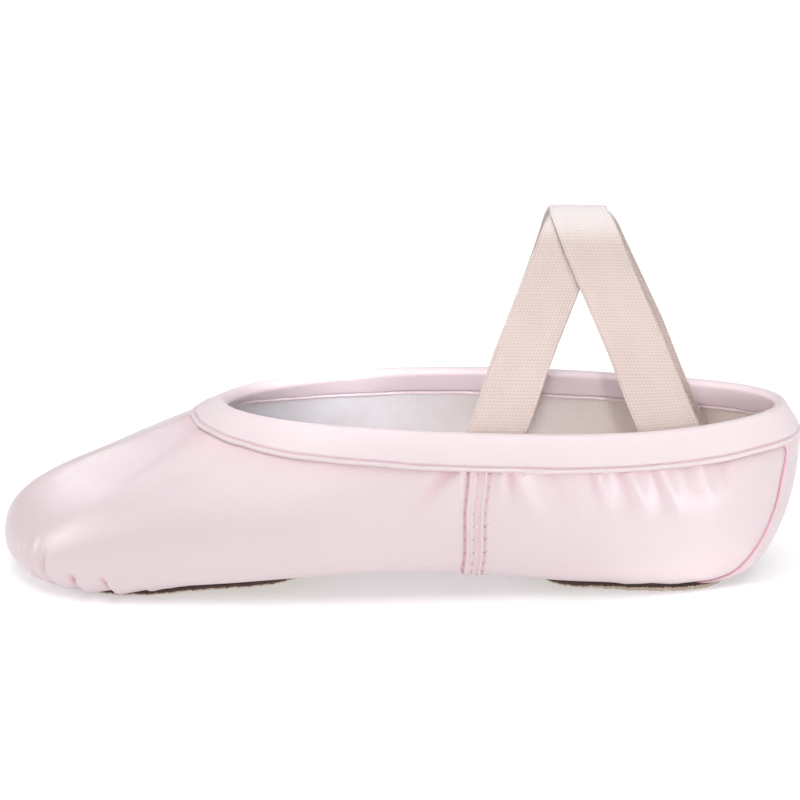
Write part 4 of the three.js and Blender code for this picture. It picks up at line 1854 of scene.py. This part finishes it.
@dataclass
class BackStrip:
    """The strip over the back seam, wider towards the sole, with a sewn line along each edge."""

    last: Last
    top_half: float = 11.8
    low_half: float = 17.2
    thick: float = 0.6
    lowest: float = 1.13
    clear: float = 9.8
    rows: int = 70
    inner_points: int = 24
    edges: tuple[float, ...] = (0.0, 0.1, 0.25, 0.45, 0.7, 1.0, 1.4)
    edge_roll: float = 0.5
    face_share: float = 0.4
    back_share: float = 0.2
    # Painted shade along the strip's edges
    edge_shade: float = 0.8
    edge_width: float = 0.3
    reach: float = 2.4
    widens: tuple[float, float] = (0.05, 0.85)
    stitch_out: float = 0.12
    stitch_lift: float = 0.22
    stitched_to: float = 0.99
    path_points: int = 120
    wander: float = 0.14
    wander_waves: tuple[tuple[float, float, float], ...] = ((1.0, 17.0, 2.0), (0.6, 34.0, 1.0))

    def half(self, part: Array) -> Array:
        """Half width of the strip, down by part.

        Args:
            part: places down, from 0 to 1.

        Returns:
            Half widths in millimetres.
        """
        waves = (share * np.sin(rate * part + first) for share, rate, first in self.wander_waves)
        even = self.top_half + (self.low_half - self.top_half) * smooth(*self.widens, part)
        return even + self.wander * sum(waves)

    def place(self, y: Array, part: Array, offset: Array) -> Array:
        """Points of the strip, across by y and down by part.

        Args:
            y: places across, in millimetres.
            part: places down, from 0 to 1.
            offset: height off the upper.

        Returns:
            Points in millimetres.
        """
        last = self.last
        low, high = last.side - self.reach, last.side + self.reach
        middle_top = last.below_collar(last.side, self.clear)
        first = last.column_at(y, middle_top + (self.lowest - middle_top) * part, low, high)
        top = last.below_collar(first, self.clear)
        s = top + (self.lowest - top) * part
        return last.shell(last.column_at(y, s, low, high), s, offset)

    def build(self, material: Material) -> Object:
        """Makes the strip.

        Args:
            material: its finish.

        Returns:
            The new piece.
        """
        edge = np.array(self.edges)
        part, column = np.meshgrid(
            np.linspace(1, 0, self.rows + 1), np.arange(2 * len(edge) + self.inner_points), indexing="ij",
        )
        half = self.half(part)
        from_edge = np.where(column < len(edge), column, 2 * len(edge) + self.inner_points - 1 - column)
        at_edge = half - np.interp(from_edge, np.arange(len(edge)), edge)
        side = np.where(column < len(edge), -1.0, 1.0)
        inside = (column >= len(edge)) & (column < len(edge) + self.inner_points)
        share = (column - len(edge) + 1) / (self.inner_points + 1)
        y = np.where(inside, (half - edge[-1]) * (2 * share - 1), side * at_edge)
        to_edge = half - np.abs(y)
        roll = np.sqrt(np.clip(to_edge / self.edge_roll, 0, 1))
        outer = self.place(y, part, self.last.gap * self.face_share + self.thick * roll)
        back = self.place(y, part, self.last.gap * self.back_share)
        # Painted shade along the strip's edges, where it meets the upper
        crease = self.edge_shade * bell(to_edge, self.edge_width)
        shell = Shell(outer, back, False, values={PAINTED_CREASE_SHADE: crease})
        return settle(shell.build("back_strip_satin", self.last), material, Slot.SATIN, "back_strip")

    def stitch_paths(self) -> list[tuple[Array, bool]]:
        """The sewn line in the corner along each edge.

        Returns:
            The points of each line, and that it is open.
        """
        part = np.linspace(0.0, self.stitched_to, self.path_points)
        line = self.half(part) + self.stitch_out
        return [(self.place(sign * line, part, self.stitch_lift), False) for sign in (-1, 1)]


@dataclass
class Insole:
    """The cotton sock that lines the foot bed."""

    last: Last
    thick: float = 1.2
    inset: float = 1.5
    profile: tuple[tuple[float, float], ...] = (
        (1.6, 0.0), (0.7, 0.1), (0.2, 0.4), (0.0, 0.7), (0.2, 1.05), (0.6, 1.2),
    )

    def build(self, material: Material) -> Object:
        """Makes the sock.

        Args:
            material: its finish.

        Returns:
            The new piece.
        """
        last = self.last
        ends = [float(last.feather(last.section(np.array(float(t))))[0]) for t in (0, last.side)]
        from_x, to_x = ends[0] + self.inset, ends[1] - self.inset

        def half(x: Array) -> Array:
            """Half width of the sock."""
            inside = (x > from_x + FINE) & (x < to_x - FINE)
            return np.where(inside, np.maximum(last.feather_half(x) - self.inset, 0), 0)

        top = last.wall + last.gap + self.thick
        plate = Plate(from_x, to_x, half)
        piece = plate.build("insole_sock", last, self.profile, lambda x: last.sole_lift(x) + top)
        return settle(piece, material, Slot.COTTON, "insole")


@dataclass
class Strap:
    """One flat elastic band over the instep, each end running down inside the collar."""

    last: Last
    node: str
    lean: float
    near: float
    far: float
    far_turn: float
    lifted: float
    width: float = 16.5
    thick: float = 1.1
    tail: float = 16.0
    crown_x: float = 172.1
    crown_z: float = 111.0
    crown_radius: float = 11.0
    base: float = 23.5
    base_z: float = 53.5
    near_turn: float = 4.5
    crossing: float = 40.0
    apart: float = 56.0
    settle_way: float = 24.0
    upright: float = 1.5
    binding_thick: float = BINDING_THICK
    rib_pitch: float = RIB_PITCH
    rib_height: float = 0.09
    column_pitch: float = COLUMN_PITCH
    rib_steps: int = 4
    across_points: int = 21
    coarse: tuple[int, int] = (120, 7)
    edge_thin: float = 0.4
    edge_power: int = 8
    tack_from: float = 2.2
    tack_to: float = 7.0
    tack_half: float = 0.82
    tack_lift: float = 0.05
    tack_points: int = 60

    def __post_init__(self) -> None:
        """Works out the round-topped tent that the band lies on."""
        height = self.crown_z - self.crown_radius - self.base_z
        reach = math.hypot(self.base, height)
        self.bend = math.atan2(height, self.base) + math.asin(self.crown_radius / reach)
        self.arc = self.crown_radius * self.bend
        self.side = self.arc + math.sqrt(reach**2 - self.crown_radius**2)
        t = np.linspace(0, self.last.side, FINE_STEPS)
        self.phi_table = (through(self.last.column["phi"], t, True), t)

    def tent(self, x: Array, distance: Array) -> Array:
        """Places on the tent at distances along the band; positive ones are on the near side.

        Args:
            x: places along the shoe.
            distance: ways from the crown.

        Returns:
            Points in millimetres.
        """
        way = np.abs(distance)
        angle = np.minimum(way / self.crown_radius, self.bend)
        straight = np.maximum(way - self.arc, 0)
        out = self.crown_radius * np.sin(angle) + straight * math.cos(self.bend)
        up = self.crown_radius * (np.cos(angle) - 1) - straight * math.sin(self.bend)
        return np.stack([x, -np.sign(distance) * out, self.crown_z + up], -1)

    def against_collar(self, x: Array, near: Array, depth: Array) -> Array:
        """Places against the inside of the collar; a negative depth is above the rim.

        Args:
            x: places along the shoe.
            near: whether each is on the near side.
            depth: ways below the rim.

        Returns:
            Points in millimetres.
        """
        last = self.last
        cosine = np.clip((last.collar_centre - x) / last.collar_half_length, -1, 1)
        t = np.interp(np.degrees(np.arccos(cosine)), *self.phi_table)
        tau = np.where(near, t, last.round - t)
        inset = -(last.wall + self.binding_thick + 2 * last.gap + self.thick / 2)
        below = last.shell(tau, last.below_collar(tau, np.maximum(depth, 0)), inset)
        up = unit(last.point(tau, 3.0) - last.point(tau, 3 - FINE))
        above = last.shell(tau, 3.0, inset) - up * np.minimum(depth, 0)[..., None]
        return np.where((depth >= 0)[..., None], below, above)

    def middle(self, distance: Array, across: Array) -> Array:
        """The band's middle surface.

        Args:
            distance: ways from the crown.
            across: places across, from -1 to 1.

        Returns:
            Points in millimetres.
        """
        distance, across = np.broadcast_arrays(distance, across)
        near = distance > 0
        slope = np.where(near, self.near, self.far)
        turn = np.where(near, self.near_turn, self.far_turn)
        way = np.hypot(distance, turn)
        drift = -np.sign(distance) * self.lean * slope * (way - turn)
        slant = np.hypot(1, slope * distance / way)
        x = self.crown_x + drift + across * self.width / 2 * slant
        depth = np.abs(distance) - self.side
        first = self.against_collar(x, near, depth)
        inside = self.against_collar(2 * x - first[..., 0], near, depth)
        part = smooth(-self.settle_way, -self.upright, depth)[..., None]
        return self.tent(x, distance) * (1 - part) + inside * part

    def normal(self, distance: Array, across: Array) -> Array:
        """Upper normals of the band's middle surface.

        Args:
            distance: ways from the crown.
            across: places across, from -1 to 1.

        Returns:
            Vectors of length one.
        """
        on = self.middle(distance + FINE, across) - self.middle(distance - FINE, across)
        over = self.middle(distance, across + FINE) - self.middle(distance, across - FINE)
        return unit(np.cross(on, over))

    def surface(self, distance: Array, across: Array) -> tuple[Array, Array]:
        """The band's middle surface and its upper normal at a grid of distances and places across.

        Args:
            distance: ways from the crown.
            across: places across, from -1 to 1.

        Returns:
            Points in millimetres, and the normals.
        """
        grid_d, grid_a = np.meshgrid(distance, across, indexing="ij")
        normal = self.normal(grid_d, grid_a)
        away = smooth(self.crossing, self.apart, np.abs(grid_d))
        return self.middle(grid_d, grid_a) + normal * (self.lifted * (1 - away))[..., None], normal

    def build(self, tree: NodeTree, material: Material) -> Object:
        """Makes the ribbed band.

        Args:
            tree: the tree that raises the ribs.
            material: its finish.

        Returns:
            The new piece.
        """
        end = self.side + self.tail
        rows, columns = self.coarse
        middle, normal = self.surface(np.linspace(-end, end, rows + 1), np.linspace(-1, 1, columns + 1))
        count = int(2 * end / self.rib_pitch * self.rib_steps)
        run = np.linspace(0, rows, count + 1)
        across = np.linspace(-1, 1, self.across_points)
        width = np.linspace(0, columns, self.across_points)

        def refine(grid: Array) -> Array:
            """The coarse grid read at the fine places."""
            return through(through(grid, run, True).swapaxes(0, 1), width, True).swapaxes(0, 1)

        middle, normal = refine(middle), unit(refine(normal))
        edge = 1 - self.edge_thin * np.abs(across) ** self.edge_power
        offset = normal * (self.thick / 2 * edge)[:, None]
        lengths = np.broadcast_to(np.linspace(0, 2 * end, count + 1)[:, None], middle.shape[:2])
        place = np.broadcast_to(across * self.width / 2, middle.shape[:2])
        shell = Shell(middle + offset, middle - offset, False, values={RUN: lengths, ACROSS: place})
        piece = shell.build(f"{self.node}_elastic", self.last)
        tree.apply(
            piece, rib_pitch=self.rib_pitch, rib_height=self.rib_height * MM, column_pitch=self.column_pitch,
            material=material,
        )
        return settle(piece, material, Slot.ELASTIC, self.node)

    def tack_paths(self) -> list[tuple[Array, bool]]:
        """A sewn box at each end, on the face towards the foot.

        Returns:
            The points of each box, and that it is closed.
        """
        low, high = self.side + self.tack_from, self.side + self.tack_to
        steps = np.linspace(0, 4, self.tack_points, endpoint=False)
        down = np.interp(steps, range(5), [low, low, high, high, low])
        across = self.tack_half * np.interp(steps, range(5), [-1, 1, 1, -1, -1])
        lift = self.thick / 2 + self.tack_lift
        return [
            (self.middle(way, across) - self.normal(way, across) * lift, True) for way in (-down, down)
        ]


# Studio


def aim(thing: Object, way: Vector) -> None:
    """Turns a lamp or camera to look along a direction."""
    thing.rotation_euler = way.to_track_quat("-Z", "Y").to_euler()


@dataclass(frozen=True)
class Softbox:
    """A soft lamp, with a grid before it where its beam is narrow."""

    name: str
    place: tuple[float, float, float]
    target: tuple[float, float, float]
    width: float
    height: float
    power: float
    spread: float = 180.0

    def build(self) -> None:
        """Adds the lamp."""
        light = bpy.data.lights.new(self.name, "AREA")
        light.shape = "RECTANGLE"
        light.size = self.width
        light.size_y = self.height
        light.energy = self.power
        light.spread = math.radians(self.spread)
        lamp = place_object(self.name, light)
        lamp.location = self.place
        aim(lamp, Vector(self.target) - Vector(self.place))


@dataclass
class Studio:
    """The pale floor, soft lights and camera."""

    azimuth: float = 2.1
    elevation: float = 20.0
    distance: float = 0.8
    frame_width: float = 0.23936
    sensor: float = 36.0
    looks_at: tuple[float, float, float] = (0.0003, 0.0008, 0.0522)
    floor_size: float = 14.0
    floor_colour: str = "#dcdcdc"
    floor_glow: float = 0.36
    floor_roughness: float = 0.9
    floor_gloss: float = 0.1
    floor_grain: float = 2.5
    floor_grain_depth: float = 0.02
    white: str = "#ffffff"
    world_strength: float = 0.42
    ceiling_strength: float = 1.75
    ceiling_width: float = 50.0
    ceiling_from: tuple[float, float, float] = (0.05, -0.2, 0.98)
    softboxes: tuple[Softbox, ...] = (
        Softbox("heel_softbox", (0.66, -1.0, 0.17), (0.08, 0.0, 0.03), 0.28, 0.3, 3.0),
        Softbox("heel_pool", (0.3, -0.7, 1.15), (0.112, -0.088, 0.0), 0.04, 0.04, 0.9, 4.0),
        Softbox("front_softbox", (-0.45, -1.1, 0.6), (0.0, 0.0, 0.04), 0.8, 0.8, 0.3),
        Softbox("toe_softbox", (-1.1, -0.35, 0.6), (-0.08, 0.0, 0.03), 0.6, 0.6, 3.3),
        Softbox("rim_softbox", (-0.75, 0.75, 0.68), (-0.095, 0.0, 0.03), 0.12, 0.12, 0.0045, 7.0),
        Softbox("collar_softbox", (0.05, -0.88, 0.54), (0.05, 0.026, 0.054), 0.2, 0.04, 0.014, 7.0),
        Softbox("throat_softbox", (-0.01, -0.9, 0.54), (-0.022, 0.023, 0.06), 0.03, 0.02, 0.0042, 3.8),
    )

    def build(self) -> None:
        """Makes the floor, lights and camera."""
        self.floor()
        self.world()
        self.ceiling()
        for softbox in self.softboxes:
            softbox.build()
        self.camera()

    def floor(self) -> None:
        """Makes the floor."""
        half = self.floor_size / 2
        corners = [(-half, -half, 0), (half, -half, 0), (half, half, 0), (-half, half, 0)]
        floor = mesh_object("studio_floor", np.array(corners, float), [(0, 1, 2, 3)])
        shader = Shader("lit_acrylic_floor")
        grain = shader.noise(shader.place, self.floor_grain * MM, 2.0)
        bump = shader.bump(grain, self.floor_grain_depth)
        material = shader.dress(linear(self.floor_colour), bump, self.floor_roughness, {
            "Emission Color": linear(self.white),
            "Emission Strength": self.floor_glow,
            "Specular IOR Level": self.floor_gloss,
        })
        floor.data.materials.append(material)

    def world(self) -> None:
        """Makes the even white surroundings."""
        world = bpy.data.worlds.new("white_room")
        bpy.context.scene.world = world
        world.use_nodes = True
        world.node_tree.nodes.clear()
        inputs = {"Color": linear(self.white), "Strength": self.world_strength}
        light = add_node(world.node_tree, "ShaderNodeBackground", inputs)
        add_node(world.node_tree, "ShaderNodeOutputWorld", {"Surface": light.outputs[0]})

    def ceiling(self) -> None:
        """Adds the broad light that falls evenly on the whole floor."""
        light = bpy.data.lights.new("lit_ceiling", "SUN")
        light.energy = self.ceiling_strength
        light.angle = math.radians(self.ceiling_width)
        aim(place_object("lit_ceiling", light), -Vector(self.ceiling_from))

    def camera(self) -> None:
        """Adds the camera at the photograph's angle."""
        scene = bpy.context.scene
        data = bpy.data.cameras.new("camera")
        data.sensor_width = self.sensor
        data.lens = self.sensor * self.distance / self.frame_width
        data.dof.use_dof = False
        camera = place_object("camera", data)
        turn, rise = math.radians(self.azimuth), math.radians(self.elevation)
        back = Vector((math.sin(turn) * math.cos(rise), -math.cos(turn) * math.cos(rise), math.sin(rise)))
        camera.location = Vector(self.looks_at) + back * self.distance
        aim(camera, -back)
        scene.camera = camera
        scene.view_settings.view_transform = "Standard"
        scene.view_settings.look = "None"


def main() -> None:
    """Builds and dresses every piece."""
    logging.basicConfig(level=logging.INFO, format="%(name)s %(message)s")
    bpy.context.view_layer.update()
    Studio().build()
    last = Last()
    satin = SatinFinish().material()
    pale_thread = ThreadFinish("pale_pink_thread", "#efdfe3").material()
    mauve_thread = ThreadFinish("mauve_thread", "#d9bfc8").material()
    deep_thread = ThreadFinish("deep_pink_thread", "#d58fa5").material()
    rose_thread = ThreadFinish("rose_thread", "#dba0b4").material()
    brown_thread = ThreadFinish("brown_thread", "#5b4640").material()
    forefoot = SolePatch(last, "forefoot_sole", 19, 98)
    heel = SolePatch(last, "heel_sole", 160, 222)
    upper = Upper(last, (forefoot, heel))
    upper.build_satin(satin)
    upper.build_lining(CottonFinish().material())
    binding = Binding(last)
    binding.build(TapeFinish().material())
    strip = BackStrip(last)
    strip.build(satin)
    sock = CottonFinish("cotton_drill", "#f3eff2", "#ece3e0", "#e2d7d4", 0.9, 0.04, 22.0)
    Insole(last).build(sock.material())
    suede = SuedeFinish().material()
    for patch in (forefoot, heel):
        patch.build(suede)
    ribs = rib_tree()
    elastic = ElasticFinish().material()
    under = Strap(last, "strap_under", 1, 0.382, 0.45, 6.0, 0.0)
    over = Strap(last, "strap_over", -1, 0.452, 0.31, 12.0, under.thick + last.gap)
    for strap in (under, over):
        strap.build(ribs, elastic)
    seamstress = Seamstress(last)
    pitch = upper.seam.pitch
    sewn = upper.seam_paths((0, 1, 2), 0.05)
    seamstress.sew("seam_needle_marks", sewn, deep_thread, Slot.SATIN, Stitch(pitch, 0.7, 0.45, 0.45))
    ticks = upper.seam_paths((1, 2), 0.18, 0.75)
    seamstress.sew("seam_thread_ticks", ticks, pale_thread, Slot.SATIN, Stitch(pitch, 0.32, 1.2, 0.4))
    bound = binding.stitch_paths()
    seamstress.sew("binding_stitches", bound, mauve_thread, Slot.BINDING, Stitch(2.2, 2.15, 0.26, 0.3))
    edges = strip.stitch_paths()
    seamstress.sew("back_strip_stitches", edges, rose_thread, Slot.SATIN, Stitch(2.2, 2.3, 0.26, 0.3))
    patch_paths = [(patch.stitch_path(), True) for patch in (forefoot, heel)]
    seamstress.sew("sole_stitches", patch_paths, brown_thread, Slot.SUEDE, Stitch(1.5, 1.15, 0.36, 0.36))
    tacks = [path for strap in (under, over) for path in strap.tack_paths()]
    seamstress.sew("strap_tacks", tacks, pale_thread, Slot.ELASTIC, Stitch(2.2, 1.8, 0.35, 0.35))


if __name__ == "__main__":
    main()
